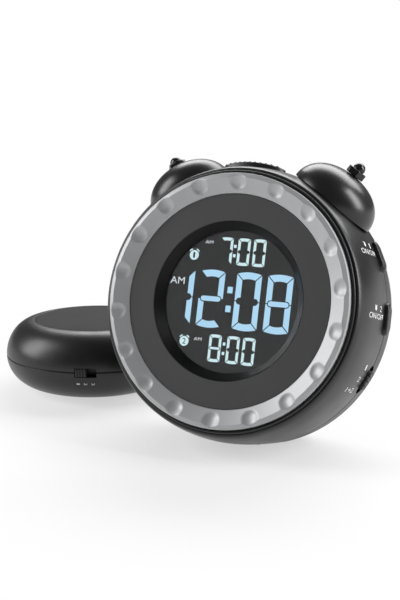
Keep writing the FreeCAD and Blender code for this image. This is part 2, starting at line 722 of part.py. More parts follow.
def main_board():
    board = rod(BOARD_RADIUS, 0, 0, -BOARD_BACK, -BOARD_FRONT, INSIDE_SIDES)
    board = board.common(box(-80, 80, -BOARD_FLAT, BOARD_FLAT, -BOARD_BACK, -BOARD_FRONT))
    for x, y in post_places():
        board = board.cut(rod(SCREW_RADIUS + 0.2, x, y, -BOARD_BACK, -BOARD_FRONT))
    chips = [box(x - w / 2, x + w / 2, y - h / 2, y + h / 2, -BOARD_BACK - t, -BOARD_BACK)
             for x, y, w, h, t in BOARD_CHIPS]
    return fuse([board] + chips)


def screw(x, y, seat, length):
    """A pan-head screw whose head sits behind a depth and whose shank runs to the front."""
    head = rod(SCREW_HEAD_RADIUS, x, y, -seat - SCREW_HEAD_HEIGHT, -seat)
    return head.fuse(rod(SCREW_RADIUS, x, y, -seat, -seat + length)).removeSplitter()


def board_screws():
    length = BOARD_THICKNESS + SCREW_BITE - GAP
    return Part.makeCompound([screw(x, y, BOARD_BACK, length) for x, y in post_places()])


def rear_screws():
    length = WALL + BOSS_LENGTH - GAP
    return Part.makeCompound([screw(x, y, SEAM_DEPTH + WALL, length) for x, y in rear_screw_places()])


# Bells and what holds them.
def bell(angle):
    def dome(radius, height, steps):
        turns = [math.pi / 2 * i / steps for i in range(steps)]
        power = 2 / BELL_POWER
        return [(radius * math.cos(t) ** power, height * math.sin(t) ** power) for t in turns]

    outside = dome(BELL_RADIUS, BELL_HEIGHT, BELL_STEPS) + [(STUD_RADIUS, BELL_HEIGHT)]
    inside = dome(BELL_RADIUS - BELL_WALL, BELL_HEIGHT - BELL_WALL, BELL_STEPS // 2)
    seat = BELL_HEIGHT - BELL_WALL
    inside = inside + [(BELL_POST_RADIUS + GAP, seat), (STUD_RADIUS, seat)]
    cap = along_x(turned(outside + inside[::-1], BELL_SIDES_ROUND))
    cap.translate(V(BELL_RIM_DISTANCE, 0, 0))
    return radial(cap, angle, BELL_DEPTH).cut(bell_clear)


bell_clear = drum_solid(GAP, INSIDE_SIDES)
BELL_TOP = BELL_RIM_DISTANCE + BELL_HEIGHT


def finial(angle):
    flange = rod(FINIAL_FLANGE, 0, 0, 0, FINIAL_FLANGE_HEIGHT, 6)
    straight = FINIAL_HEIGHT - FINIAL_RADIUS
    turns = [math.pi / 2 * i / 4 for i in range(4)]
    crown = [(FINIAL_RADIUS * math.cos(t), straight + FINIAL_RADIUS * math.sin(t)) for t in turns]
    acorn = turned([(0, 0), (FINIAL_RADIUS, 0)] + crown + [(0, FINIAL_HEIGHT)], FINIAL_SIDES)
    nut = flange.fuse(acorn).removeSplitter()
    nut = along_x(nut.cut(rod(STUD_RADIUS, 0, 0, 0, STUD_REACH)))
    nut.translate(V(BELL_TOP, 0, 0))
    return radial(nut, angle, BELL_DEPTH)


def bell_studs():
    nut_top = side_radius(BELL_DEPTH) - WALL - GAP
    studs = []
    for angle in BELL_SIDES.values():
        nut = rod(STUD_NUT_RADIUS, 0, 0, nut_top - STUD_NUT_HEIGHT, nut_top, 6)
        stud = rod(STUD_RADIUS, 0, 0, nut_top - STUD_NUT_HEIGHT, BELL_TOP + STUD_REACH)
        studs.append(radial(along_x(nut.fuse(stud).removeSplitter()), angle, BELL_DEPTH))
    return Part.makeCompound(studs)


# Snooze board and switch on the shelf.
def snooze_board():
    return box(-SHELF_HALF_WIDTH + 1, SHELF_HALF_WIDTH - 1, SHELF_TOP, SHELF_TOP + BOARD_THICKNESS,
               -SNOOZE_DEPTH - 6, -SNOOZE_DEPTH + 6)


def snooze_switch():
    half = SWITCH_SIZE / 2
    return box(-half, half, SHELF_TOP + BOARD_THICKNESS, snooze_switch_top,
               -SNOOZE_DEPTH - half, -SNOOZE_DEPTH + half)


# Parts at the back.
REAR_INSIDE = DRUM_DEPTH - WALL
REAR_KEY_BACK = REAR_INSIDE - WALL_GAP
REAR_KEY_FRONT = REAR_KEY_BACK - FLANGE_THICKNESS
REAR_SWITCH_BACK = REAR_KEY_FRONT - REAR_KEY_TRAVEL - GAP
REAR_BOARD_BACK = REAR_SWITCH_BACK - SWITCH_HEIGHT


def time_set_key():
    cap = rod(REAR_KEY_RADIUS, REAR_KEY_X, REAR_KEY_Y, -DRUM_DEPTH - REAR_KEY_RISE, -REAR_KEY_BACK, 24)
    foot = rod(REAR_KEY_RADIUS + FLANGE_EDGE, REAR_KEY_X, REAR_KEY_Y, -REAR_KEY_BACK, -REAR_KEY_FRONT, 24)
    return cap.fuse(foot).removeSplitter()


def rear_board():
    board = box(REAR_KEY_X - 8, REAR_KEY_X + 6, SOCKET_Y - 4, REAR_KEY_Y + 6,
                -REAR_BOARD_BACK, -REAR_BOARD_BACK + BOARD_THICKNESS)
    return board


def rear_key_switch():
    half = SWITCH_SIZE / 2
    return box(REAR_KEY_X - half, REAR_KEY_X + half, REAR_KEY_Y - half, REAR_KEY_Y + half,
               -REAR_SWITCH_BACK, -REAR_BOARD_BACK)


def socket_shell(width, height, length, wall=0.4):
    """A flat socket along +Z with its mouth at the origin's side and a tongue inside."""
    shell = prism(round_outline(width, height), 0, length)
    shell = shell.cut(prism(round_outline(width - 2 * wall, height - 2 * wall), 0, length - 1))
    tongue = box(-width / 2 + 1.6, width / 2 - 1.6, -0.35, 0.35, 1, length - 0.5)
    return shell.fuse(tongue).removeSplitter()


def power_socket():
    socket = socket_shell(SOCKET_WIDTH, SOCKET_HEIGHT, DRUM_DEPTH - 0.1 - REAR_BOARD_BACK)
    socket.translate(V(SOCKET_X, SOCKET_Y, -DRUM_DEPTH + 0.1))
    return socket


def speaker():
    rim_front = REAR_INSIDE - SPEAKER_RIM
    cone_front = REAR_INSIDE - SPEAKER_DEPTH * 0.55
    magnet_front = REAR_INSIDE - SPEAKER_DEPTH
    body = depth_turned([
        (0, rim_front + 0.8),
        (SPEAKER_RADIUS * 0.4, rim_front + 0.8),
        (SPEAKER_RADIUS * 0.85, REAR_INSIDE),
        (SPEAKER_RADIUS, REAR_INSIDE),
        (SPEAKER_RADIUS, rim_front),
        (SPEAKER_RADIUS * 0.85, rim_front),
        (SPEAKER_RADIUS * 0.5, cone_front),
        (SPEAKER_RADIUS * 0.5, magnet_front),
        (0, magnet_front),
    ], 24)
    body.translate(V(0, SPEAKER_Y, 0))
    return body


def battery_door():
    door = door_box(0, DRUM_DEPTH - DOOR_THICKNESS, DRUM_DEPTH)
    for i in range(4):
        y = DOOR_Y - DOOR_HEIGHT / 2 + 3 + i * 1.6
        door = door.cut(box(-6, 6, y, y + 0.8, -DRUM_DEPTH, -DRUM_DEPTH + 0.4))
    return door


def battery_cells():
    cells = []
    for way in (-1, 1):
        cell = along_x(rod(CELL_RADIUS, 0, 0, -CELL_LENGTH / 2, CELL_LENGTH / 2 - 1))
        cell = cell.fuse(along_x(rod(CELL_RADIUS * 0.4, 0, 0, CELL_LENGTH / 2 - 1, CELL_LENGTH / 2)))
        if way > 0:
            cell.rotate(V(0, 0, 0), V(0, 0, 1), 180)
        cell.translate(V(0, DOOR_Y + way * CELL_RADIUS, -CELL_DEPTH))
        cells.append(cell.removeSplitter())
    return Part.makeCompound(cells)


def battery_contacts():
    plates = []
    for way in (-1, 1):
        x0 = way * CELL_LENGTH / 2
        x1 = way * (CELL_LENGTH / 2 + CONTACT_THICKNESS)
        for row in (-1, 1):
            y = DOOR_Y + row * CELL_RADIUS
            plates.append(box(min(x0, x1), max(x0, x1), y - 4, y + 4, -CELL_DEPTH - 4, -CELL_DEPTH + 4))
    return Part.makeCompound(plates)


clock_pieces = {
    "front_housing": front_housing(),
    "rear_cover": rear_cover(),
    "bezel_ring": bezel_ring(),
    "face_plate": annulus(PLATE_INNER_RADIUS, RING_INNER_RADIUS - 0.15, PLATE_DEPTH, RING_SEAT_DEPTH),
    "display_bevel": display_bevel(),
    "display_lens": disc(LENS_RADIUS, -LENS_BACK, -LENS_FRONT),
    "lcd_panel": prism(clipped_square(PANEL_HALF, CORNER_CLIP), -PANEL_BACK, -PANEL_FRONT),
    "light_guide": prism(clipped_square(PANEL_HALF, CORNER_CLIP), -GUIDE_BACK, -PANEL_BACK),
    "display_tray": display_tray(),
    "main_board": main_board(),
    "board_screws": board_screws(),
    "bell_left": bell(BELL_SIDES["left"]),
    "bell_right": bell(BELL_SIDES["right"]),
    "finial_left": finial(BELL_SIDES["left"]),
    "finial_right": finial(BELL_SIDES["right"]),
    "bell_studs": bell_studs(),
    "snooze_key": snooze_key(),
    "snooze_board": snooze_board(),
    "snooze_switch": snooze_switch(),
    "alarm_1_key": side_key(KEY_ANGLES[0]),
    "alarm_2_key": side_key(KEY_ANGLES[1]),
    "mode_knob": side_knob(SLIDE_ANGLE),
    "plus_key": side_key(mirrored(KEY_ANGLES[0])),
    "minus_key": side_key(mirrored(KEY_ANGLES[1])),
    "volume_knob": side_knob(mirrored(SLIDE_ANGLE)),
    "side_strip_right": switch_strip(0),
    "side_strip_left": switch_strip(180),
    "key_switches": Part.makeCompound([tact_switch(place(a)) for place in (same, mirrored) for a in KEY_ANGLES]),
    "slide_switches": Part.makeCompound([slide_switch(SLIDE_ANGLE), slide_switch(mirrored(SLIDE_ANGLE))]),
    "speaker": speaker(),
    "battery_door": battery_door(),
    "battery_cells": battery_cells(),
    "battery_contacts": battery_contacts(),
    "time_set_key": time_set_key(),
    "rear_board": rear_board(),
    "rear_key_switch": rear_key_switch(),
    "power_socket": power_socket(),
    "rear_screws": rear_screws(),
}
for name, piece in clock_pieces.items():
    export(name, stand(piece))
export("base_pad", base_pad())


# Bed shaker, built round its own axis with its switch towards -Y.
def shaker_profile(inset, steps):
    """Half outline of the puck from its base up to the seam, and from the seam to the top."""
    turns = [math.pi / 2 * i / steps for i in range(steps + 1)]
    spread = SHAKER_RADIUS - SHAKER_BASE_RADIUS
    low = [(SHAKER_BASE_RADIUS - inset + spread * math.sin(t) ** 0.9,
            FOOT_PROUD + inset + (SHAKER_SEAM - FOOT_PROUD - inset) * (1 - math.cos(t))) for t in turns]
    fall = SHAKER_RADIUS - SHAKER_TOP_RADIUS
    high = [(SHAKER_TOP_RADIUS - inset + fall * math.cos(t),
             SHAKER_SEAM + (SHAKER_HEIGHT - SHAKER_SEAM - inset) * math.sin(t)) for t in turns]
    return low, high


low_outside, high_outside = shaker_profile(0, SHAKER_STEPS)
low_inside, high_inside = shaker_profile(SHAKER_WALL, SHAKER_INSIDE_STEPS)
shaker_form = turned([(0, FOOT_PROUD)] + low_outside + high_outside[1:] + [(0, SHAKER_HEIGHT)])
shaker_inner = turned([(0, FOOT_PROUD + SHAKER_WALL)] + low_inside + high_inside[1:]
                      + [(0, SHAKER_HEIGHT - SHAKER_WALL)], CAN_SIDES)
CEILING = SHAKER_HEIGHT - INLAY_THICKNESS - SHAKER_WALL
BOARD_TOP = SHAKER_BOARD_HEIGHT + BOARD_THICKNESS
LEVEL_HEIGHT = BOARD_TOP + LEVEL_LIFT
LEVEL_PLATE = SHAKER_RADIUS - SHAKER_WALL - LEVEL_ROOM
LEVEL_BACK = LEVEL_PLATE - FLANGE_THICKNESS
STRAP_X = MOTOR_START + MOTOR_LENGTH / 2


def shaker_screw_places():
    for angle in (0, 180, 270):
        turn = math.radians(angle)
        yield SHAKER_SCREW_CIRCLE * math.cos(turn), SHAKER_SCREW_CIRCLE * math.sin(turn)


def shaker_openings():
    slot = box(-LEVEL_SLOT_LENGTH / 2, LEVEL_SLOT_LENGTH / 2, -SHAKER_RADIUS - 2, -SHAKER_RADIUS + 6,
               LEVEL_HEIGHT - LEVEL_SLOT_HEIGHT / 2, LEVEL_HEIGHT + LEVEL_SLOT_HEIGHT / 2)
    mouth = box(-SOCKET_WIDTH / 2 - GAP, SOCKET_WIDTH / 2 + GAP, SHAKER_RADIUS - 6, SHAKER_RADIUS + 2,
                BOARD_TOP - GAP, BOARD_TOP + SOCKET_HEIGHT + GAP)
    return slot.fuse(mouth)


def shaker_half(z0, z1, roof):
    """The puck's wall between two heights, hollow below a roof."""
    outside = shaker_form.common(box(-60, 60, -60, 60, z0, z1))
    return outside.cut(shaker_inner.common(box(-60, 60, -60, 60, 0, roof)))


def shaker_top_shell():
    shell = shaker_half(SHAKER_SEAM, SHAKER_HEIGHT, CEILING)
    shell = shell.cut(disc(SHAKER_TOP_RADIUS - 0.4, SHAKER_HEIGHT - INLAY_THICKNESS, SHAKER_HEIGHT))
    posts = [rod(POST_RADIUS, x, y, SHAKER_SEAM, CEILING + 1) for x, y in shaker_screw_places()]
    shell = fuse([shell] + posts)
    for x, y in shaker_screw_places():
        shell = shell.cut(rod(SCREW_RADIUS, x, y, SHAKER_SEAM - 1, SHAKER_SEAM + SCREW_BITE + GAP))
    return shell.cut(shaker_openings())


def shaker_bottom_shell():
    shell = shaker_half(FOOT_PROUD, SHAKER_SEAM, SHAKER_SEAM)
    ribs = []
    for x, y in shaker_screw_places():
        ribs.append(rod(REAR_TUBE_RADIUS, x, y, 0, SHAKER_SEAM))
    for x in (-22, 22):
        ribs.append(rod(POST_RADIUS, x, -20, 0, SHAKER_BOARD_HEIGHT))
    ribs.append(rod(POST_RADIUS, 0, 33, 0, SHAKER_BOARD_HEIGHT))
    motor = along_x(rod(MOTOR_RADIUS, 0, 0, MOTOR_START - 1, MOTOR_START + MOTOR_LENGTH + 1, CAN_SIDES))
    motor.translate(V(0, 0, MOTOR_AXIS_HEIGHT))
    for x in (MOTOR_START + 3, STRAP_X, MOTOR_START + MOTOR_LENGTH - 4):
        half = STRAP_REACH if x == STRAP_X else MOTOR_RADIUS
        ribs.append(box(x - STRAP_WIDTH / 2, x + STRAP_WIDTH / 2, -half, half, 1, SADDLE_TOP).cut(motor))
    cell = along_x(rod(BATTERY_RADIUS, 0, 0, -BATTERY_LENGTH, BATTERY_LENGTH, CAN_SIDES))
    cell.translate(V(0, BATTERY_Y, BATTERY_HEIGHT))
    for x in (-18, 18):
        ribs.append(box(x - 1, x + 1, BATTERY_Y - 6, BATTERY_Y + 6, 1, BATTERY_HEIGHT - 2).cut(cell))
    inside = [rib.common(shaker_form) for rib in ribs]
    shell = fuse([shell] + inside)
    shell = shell.cut(foot_ring(0, FOOT_THICKNESS))
    for x, y in shaker_screw_places():
        shell = shell.cut(rod(REAR_SCREW_WELL, x, y, -1, WELL_TOP))
        shell = shell.cut(rod(SCREW_RADIUS + 0.2, x, y, 0, SHAKER_SEAM + 1))
    return shell.cut(shaker_openings())


def foot_ring(z0, z1):
    inner = FOOT_RADIUS - FOOT_WIDTH
    return turned([(inner, z0), (FOOT_RADIUS, z0), (FOOT_RADIUS, z1), (inner, z1)], INSIDE_SIDES)


def shaker_screws():
    screws = []
    for x, y in shaker_screw_places():
        head = rod(SCREW_HEAD_RADIUS, x, y, WELL_TOP - SCREW_HEAD_HEIGHT, WELL_TOP)
        screws.append(head.fuse(rod(SCREW_RADIUS, x, y, WELL_TOP, SHAKER_SEAM + SCREW_BITE)).removeSplitter())
    return Part.makeCompound(screws)


def shaker_board():
    edge = SHAKER_RADIUS - SHAKER_WALL - 3.4
    board = rod(edge, 0, 0, SHAKER_BOARD_HEIGHT, BOARD_TOP, INSIDE_SIDES)
    board = board.common(box(-60, 60, -LEVEL_BACK + GAP, -WEIGHT_RADIUS - 2, 0, 40))
    for x, y in shaker_screw_places():
        board = board.cut(rod(REAR_TUBE_RADIUS + GAP, x, y, 0, 40))
    chips = [box(-16, -8, -26, -18, BOARD_TOP, BOARD_TOP + 1.4), box(8, 14, -28, -20, BOARD_TOP, BOARD_TOP + 2)]
    return fuse([board] + chips)


def shaker_level_knob():
    half = LEVEL_KNOB_LENGTH / 2
    tall = LEVEL_SLOT_HEIGHT / 2 - GAP
    face = SHAKER_RADIUS + LEVEL_KNOB_RISE - 0.2
    knob = box(-half, half, -face, -LEVEL_PLATE, -tall, tall)
    pitch = LEVEL_KNOB_LENGTH / LEVEL_RIBS
    for i in range(LEVEL_RIBS - 1):
        x = (i - (LEVEL_RIBS - 2) / 2) * pitch
        knob = knob.cut(box(x - pitch / 4, x + pitch / 4, -face, -face + 0.5, -tall, tall))
    reach = half + LEVEL_TRAVEL + 1.0
    plate = box(-reach, reach, -LEVEL_PLATE, -LEVEL_BACK, -tall - 1, tall + 1)
    lever = box(-LEVER / 2, LEVER / 2, -LEVEL_BACK, -LEVEL_BACK + 2.8, -LEVER / 2, LEVER / 2)
    whole = fuse([knob, plate, lever])
    whole.translate(V(-LEVEL_TRAVEL / 2, 0, LEVEL_HEIGHT))
    return whole


def shaker_level_switch():
    front = LEVEL_BACK - GAP
    body = box(-SWITCH_SIZE, SWITCH_SIZE, -front, -front + 3.4, BOARD_TOP, BOARD_TOP + 4)
    reach = LEVER / 2 + LEVEL_TRAVEL / 2 + GAP
    tall = LEVER / 2 + GAP
    return body.cut(box(-reach, reach, -front, -front + 2.8, LEVEL_HEIGHT - tall, LEVEL_HEIGHT + tall))


def on_motor_axis(shape):
    placed = along_x(shape)
    placed.translate(V(0, 0, MOTOR_AXIS_HEIGHT))
    return placed


MOTOR_END = MOTOR_START + MOTOR_LENGTH
WEIGHT_START = MOTOR_END + 1.5


def shaker_motor():
    can = rod(MOTOR_RADIUS, 0, 0, MOTOR_START, MOTOR_END, CAN_SIDES)
    hub = rod(3.0, 0, 0, MOTOR_END, MOTOR_END + 0.8)
    bore = shaft(SHAFT_RADIUS + 0.05, 0, 0, MOTOR_END - SHAFT_IN - 0.5, MOTOR_END + 2)
    return on_motor_axis(can.fuse(hub).removeSplitter().cut(bore))


def shaker_shaft():
    return on_motor_axis(shaft(SHAFT_RADIUS, 0, 0, MOTOR_END - SHAFT_IN, WEIGHT_START + WEIGHT_LENGTH + 0.5))


def shaker_weight():
    full = rod(WEIGHT_RADIUS, 0, 0, WEIGHT_START, WEIGHT_START + WEIGHT_LENGTH, CAN_SIDES)
    half = full.common(box(-1.5, 20, -20, 20, WEIGHT_START, WEIGHT_START + WEIGHT_LENGTH))
    return on_motor_axis(half.cut(shaft(SHAFT_RADIUS, 0, 0, WEIGHT_START, WEIGHT_START + WEIGHT_LENGTH)))


def shaker_motor_strap():
    outer = rod(MOTOR_RADIUS + STRAP_THICKNESS, 0, 0, STRAP_X - STRAP_WIDTH / 2, STRAP_X + STRAP_WIDTH / 2, CAN_SIDES)
    inner = rod(MOTOR_RADIUS, 0, 0, STRAP_X - STRAP_WIDTH / 2, STRAP_X + STRAP_WIDTH / 2, CAN_SIDES)
    band = on_motor_axis(outer)
    reach = MOTOR_RADIUS + STRAP_THICKNESS
    legs = box(STRAP_X - STRAP_WIDTH / 2, STRAP_X + STRAP_WIDTH / 2, -reach, reach, SADDLE_TOP, MOTOR_AXIS_HEIGHT)
    feet = box(STRAP_X - STRAP_WIDTH / 2, STRAP_X + STRAP_WIDTH / 2, -STRAP_REACH, STRAP_REACH,
               SADDLE_TOP, SADDLE_TOP + STRAP_THICKNESS)
    whole = fuse([band, legs, feet]).common(box(-60, 60, -60, 60, SADDLE_TOP, 60))
    return whole.cut(on_motor_axis(inner))


def shaker_battery():
    cell = along_x(rod(BATTERY_RADIUS, 0, 0, -BATTERY_LENGTH / 2, BATTERY_LENGTH / 2, CAN_SIDES))
    cell.translate(V(0, BATTERY_Y, BATTERY_HEIGHT))
    return cell


def shaker_socket_board():
    return box(-8, 8, 30, 38, SHAKER_BOARD_HEIGHT, BOARD_TOP)


def shaker_socket():
    socket = socket_shell(SOCKET_WIDTH, SOCKET_HEIGHT, SOCKET_LENGTH)
    socket.rotate(V(0, 0, 0), V(1, 0, 0), 90)
    socket.translate(V(0, SHAKER_RADIUS - 0.4, BOARD_TOP + SOCKET_HEIGHT / 2))
    return socket


def beside(shape):
    """Turns a piece of the shaker and sets it beside the clock."""
    placed = shape.copy()
    placed.rotate(V(0, 0, 0), V(0, 0, 1), SHAKER_TURN)
    placed.translate(V(SHAKER_X, SHAKER_Y, 0))
    return placed


shaker_pieces = {
    "shaker_top_shell": shaker_top_shell(),
    "shaker_bottom_shell": shaker_bottom_shell(),
    "shaker_inlay": rod(SHAKER_TOP_RADIUS - 0.5, 0, 0, SHAKER_HEIGHT - INLAY_THICKNESS, SHAKER_HEIGHT, ROUND_SIDES),
    "shaker_foot": foot_ring(0, FOOT_THICKNESS),
    "shaker_board": shaker_board(),
    "shaker_level_switch": shaker_level_switch(),
    "shaker_level_knob": shaker_level_knob(),
    "shaker_motor": shaker_motor(),
    "shaker_motor_strap": shaker_motor_strap(),
    "shaker_shaft": shaker_shaft(),
    "shaker_weight": shaker_weight(),
    "shaker_battery": shaker_battery(),
    "shaker_socket_board": shaker_socket_board(),
    "shaker_socket": shaker_socket(),
    "shaker_screws": shaker_screws(),
}
for name, piece in shaker_pieces.items():
    export(name, beside(piece))
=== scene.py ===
import math

import bmesh
import bpy
from mathutils import Matrix, Vector


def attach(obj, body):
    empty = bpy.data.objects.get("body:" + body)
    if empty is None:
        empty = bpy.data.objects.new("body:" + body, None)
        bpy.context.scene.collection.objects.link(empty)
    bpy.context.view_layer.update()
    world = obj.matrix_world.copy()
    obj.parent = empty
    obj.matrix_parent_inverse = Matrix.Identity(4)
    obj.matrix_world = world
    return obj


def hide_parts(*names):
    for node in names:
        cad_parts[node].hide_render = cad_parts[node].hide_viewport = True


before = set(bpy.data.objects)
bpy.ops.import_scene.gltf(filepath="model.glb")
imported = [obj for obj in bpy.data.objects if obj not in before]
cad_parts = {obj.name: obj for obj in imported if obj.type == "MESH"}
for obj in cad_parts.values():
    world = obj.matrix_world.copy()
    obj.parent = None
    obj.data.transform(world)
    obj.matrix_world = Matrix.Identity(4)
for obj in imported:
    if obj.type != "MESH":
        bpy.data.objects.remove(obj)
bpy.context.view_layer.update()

# The drum's front half: satin black ABS, injection moulded with a fine spark-eroded grain. It carries a
# thin bead round the silver ring, a rounded lip, and the front halves of the slots for the side keys.
MM = 0.001
LEAN = math.radians(16)
FACE_HEIGHT = 62.4
FACE_SETBACK = 23.0
CLOCK = (
    Matrix.Translation((0, -FACE_SETBACK * MM, FACE_HEIGHT * MM))
    @ Matrix.Rotation(math.pi / 2 - LEAN, 4, "X")
    @ Matrix.Scale(MM, 4)
)
ROUND = 192
WALL = 2.2
GAP = 0.3
RING_POCKET = 51.3
RING_SEAT = 1.2
BEAD_OUTER = 52.5
BEAD_TOP = -0.1
LIP_RADIUS = 53.8
LIP_DEPTH = 1.0
CROWN_POWER = 3.0
SEAM_RADIUS = 57.0
SEAM_DEPTH = 30.6
FLANGE_RADIUS = 41.0
DRUM_DEPTH = 54.0
BASE_CUT = 0.8
SIDE_DEPTH = 30.2
KEY_ANGLES = (26.1, 0.1)
SLIDE_ANGLE = -25.9
KEY_LENGTH = 13.0
KEY_WIDTH = 5.4
KNOB_LENGTH = 8.6
KNOB_WIDTH = 5.0
KNOB_TRAVEL = 1.9
SNOOZE_DEPTH = 13.9
SNOOZE_HALF_WIDTH = 13.5
SNOOZE_HALF_DEPTH = 6.5


def made(name, points, faces):
    """A mesh object from points in millimetres, with doubles merged and its faces pointing outwards."""
    mesh = bpy.data.meshes.new(name)
    mesh.from_pydata([tuple(p) for p in points], [], faces)
    shape = bmesh.new()
    shape.from_mesh(mesh)
    bmesh.ops.remove_doubles(shape, verts=shape.verts, dist=1e-4)
    bmesh.ops.recalc_face_normals(shape, faces=shape.faces)
    shape.to_mesh(mesh)
    shape.free()
    piece = bpy.data.objects.new(name, mesh)
    bpy.context.scene.collection.objects.link(piece)
    return piece


def turned(name, outline, segments=ROUND):
    """A closed outline of (radius, height) points, turned round Z."""
    points = []
    for k in range(segments):
        t = 2 * math.pi * k / segments
        points += [(r * math.cos(t), r * math.sin(t), z) for r, z in outline]
    n = len(outline)
    faces = []
    for k in range(segments):
        a = k * n
        b = (k + 1) % segments * n
        faces += [(a + i, b + i, b + (i + 1) % n, a + (i + 1) % n) for i in range(n)]
    return made(name, points, faces)


def plain(piece):
    """Turns what the modifiers make of a piece into its plain mesh."""
    bpy.context.view_layer.update()
    graph = bpy.context.evaluated_depsgraph_get()
    mesh = bpy.data.meshes.new_from_object(piece.evaluated_get(graph))
    piece.modifiers.clear()
    piece.data = mesh
    return piece


def cut(piece, *tools, keep="DIFFERENCE"):
    """Cuts a piece with other meshes, which are used up."""
    for tool in tools:
        modifier = piece.modifiers.new("cut", "BOOLEAN")
        modifier.operation = keep
        modifier.solver = "EXACT"
        modifier.object = tool
    plain(piece)
    for tool in tools:
        bpy.data.objects.remove(tool)
    return piece


def join(piece, *others):
    """Adds other meshes to a piece."""
    shape = bmesh.new()
    for part in (piece, *others):
        shape.from_mesh(part.data)
    shape.to_mesh(piece.data)
    shape.free()
    for part in others:
        bpy.data.objects.remove(part)
    return piece


def moved(piece, matrix):
    piece.data.transform(matrix)
    if matrix.determinant() < 0:
        piece.data.flip_normals()
    return piece


def block(name, low, high):
    xs, ys, zs = zip(low, high)
    points = [(x, y, z) for x in xs for y in ys for z in zs]
    faces = [(0, 1, 3, 2), (4, 6, 7, 5), (0, 4, 5, 1), (2, 3, 7, 6), (0, 2, 6, 4), (1, 5, 7, 3)]
    return made(name, points, faces)


def ellipse(half_x, half_y, steps, x=0, y=0):
    """An outline round a point."""
    turns = [2 * math.pi * k / steps for k in range(steps)]
    return [(x + half_x * math.cos(t), y + half_y * math.sin(t)) for t in turns]


def band(inner, outer, turns, x=0, y=0):
    """An outline of a curved strip between two radii."""
    strip = [(x + outer * math.cos(t), y + outer * math.sin(t)) for t in turns]
    return strip + [(x + inner * math.cos(t), y + inner * math.sin(t)) for t in turns[::-1]]


def prism(name, outline, low, high):
    """A flat outline in X and Y, given a thickness along Z."""
    n = len(outline)
    points = [(x, y, low) for x, y in outline] + [(x, y, high) for x, y in outline]
    faces = [tuple(range(n))[::-1], tuple(range(n, 2 * n))]
    faces += [(i, (i + 1) % n, n + (i + 1) % n, n + i) for i in range(n)]
    return made(name, points, faces)


def slot_outline(length, width, steps=12):
    """A slot with round ends, long in Y."""
    half = (length - width) / 2
    turns = [math.pi * k / steps for k in range(steps + 1)]
    upper = [(width / 2 * math.cos(t), half + width / 2 * math.sin(t)) for t in turns]
    return upper + [(-x, -y) for x, y in upper]


def radial(angle, depth=0.0):
    """Takes +Z to a direction across the drum at an angle from local +X, keeping local Y along the round."""
    return (
        Matrix.Rotation(math.radians(angle), 4, "Z")
        @ Matrix.Translation((0, 0, -depth))
        @ Matrix.Rotation(math.pi / 2, 4, "Y")
    )


def mirrored(angle):
    return 180 - angle


def side_radius(depth):
    """The drum's radius between the lip and the seam: a crown that flattens out towards the seam."""
    left = (SEAM_DEPTH - depth) / (SEAM_DEPTH - LIP_DEPTH)
    return SEAM_RADIUS - (SEAM_RADIUS - LIP_RADIUS) * max(0.0, left) ** CROWN_POWER


def floor_block():
    """All that lies under the flat on which the drum stands."""
    tool = block("floor_tool", (-90, -90, -60), (90, 90, BASE_CUT))
    return moved(tool, CLOCK.inverted() @ Matrix.Scale(MM, 4))


def side_slots():
    tools = []
    slots = [(angle, KEY_LENGTH, KEY_WIDTH) for angle in KEY_ANGLES]
    slots.append((SLIDE_ANGLE, KNOB_LENGTH + 2 * KNOB_TRAVEL, KNOB_WIDTH))
    for place in (lambda a: a, mirrored):
        for angle, length, width in slots:
            tool = prism("slot_tool", slot_outline(length + 2 * GAP, width + 2 * GAP), 50, 62)
            tools.append(moved(tool, radial(place(angle), SIDE_DEPTH)))
    return tools


def srgb(code):
    """An sRGB hex colour as linear red, green, blue and alpha."""
    parts = [int(code[i:i + 2], 16) / 255 for i in (1, 3, 5)]
    return tuple(c / 12.92 if c <= 0.04045 else ((c + 0.055) / 1.055) ** 2.4 for c in parts) + (1.0,)


def add(tree, kind, inputs=None, **settings):
    """Adds a node; an input takes a value, or the output that feeds it."""
    node = tree.nodes.new(kind)
    for key, value in settings.items():
        setattr(node, key, value)
    for key, value in (inputs or {}).items():
        if isinstance(value, bpy.types.NodeSocket):
            tree.links.new(value, node.inputs[key])
        else:
            node.inputs[key].default_value = value
    return node


def blank(name):
    """A new material and its node tree, with nothing in it."""
    material = bpy.data.materials.new(name)
    material.use_nodes = True
    material.node_tree.nodes.clear()
    return material, material.node_tree


def moulded(name, colour, roughness, grain, depth, specular=0.5, spread=0.06):
    """A moulded plastic: an even colour under a fine grain, which is given in millimetres."""
    material, tree = blank(name)
    place = add(tree, "ShaderNodeTexCoord").outputs["Object"]
    fine = add(tree, "ShaderNodeTexNoise", {"Vector": place, "Scale": 1 / (grain * MM), "Detail": 2.0})
    cloud = add(tree, "ShaderNodeTexNoise", {"Vector": place, "Scale": 1 / (18 * MM), "Detail": 3.0})
    rough = add(tree, "ShaderNodeMapRange", {
        "Value": cloud.outputs["Fac"], "From Min": 0.3, "From Max": 0.7,
        "To Min": roughness - spread, "To Max": roughness + spread})
    bump = add(tree, "ShaderNodeBump", {
        "Height": fine.outputs["Fac"], "Strength": 0.35, "Distance": depth * MM})
    shader = add(tree, "ShaderNodeBsdfPrincipled", {
        "Base Color": srgb(colour), "Roughness": rough.outputs["Result"], "IOR": 1.53,
        "Specular IOR Level": specular, "Normal": bump.outputs["Normal"]})
    add(tree, "ShaderNodeOutputMaterial", {"Surface": shader.outputs["BSDF"]})
    return material


def fit(piece, material, body, replaced=(), place=CLOCK, sharp=32):
    """Puts a finished piece in its place, with its material, and joins it to its body."""
    moved(piece, place)
    piece.data.materials.clear()
    piece.data.materials.append(material)
    piece.data.shade_smooth()
    piece.data.set_sharp_from_angle(angle=math.radians(sharp))
    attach(piece, body)
    if replaced:
        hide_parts(*replaced)
    return piece


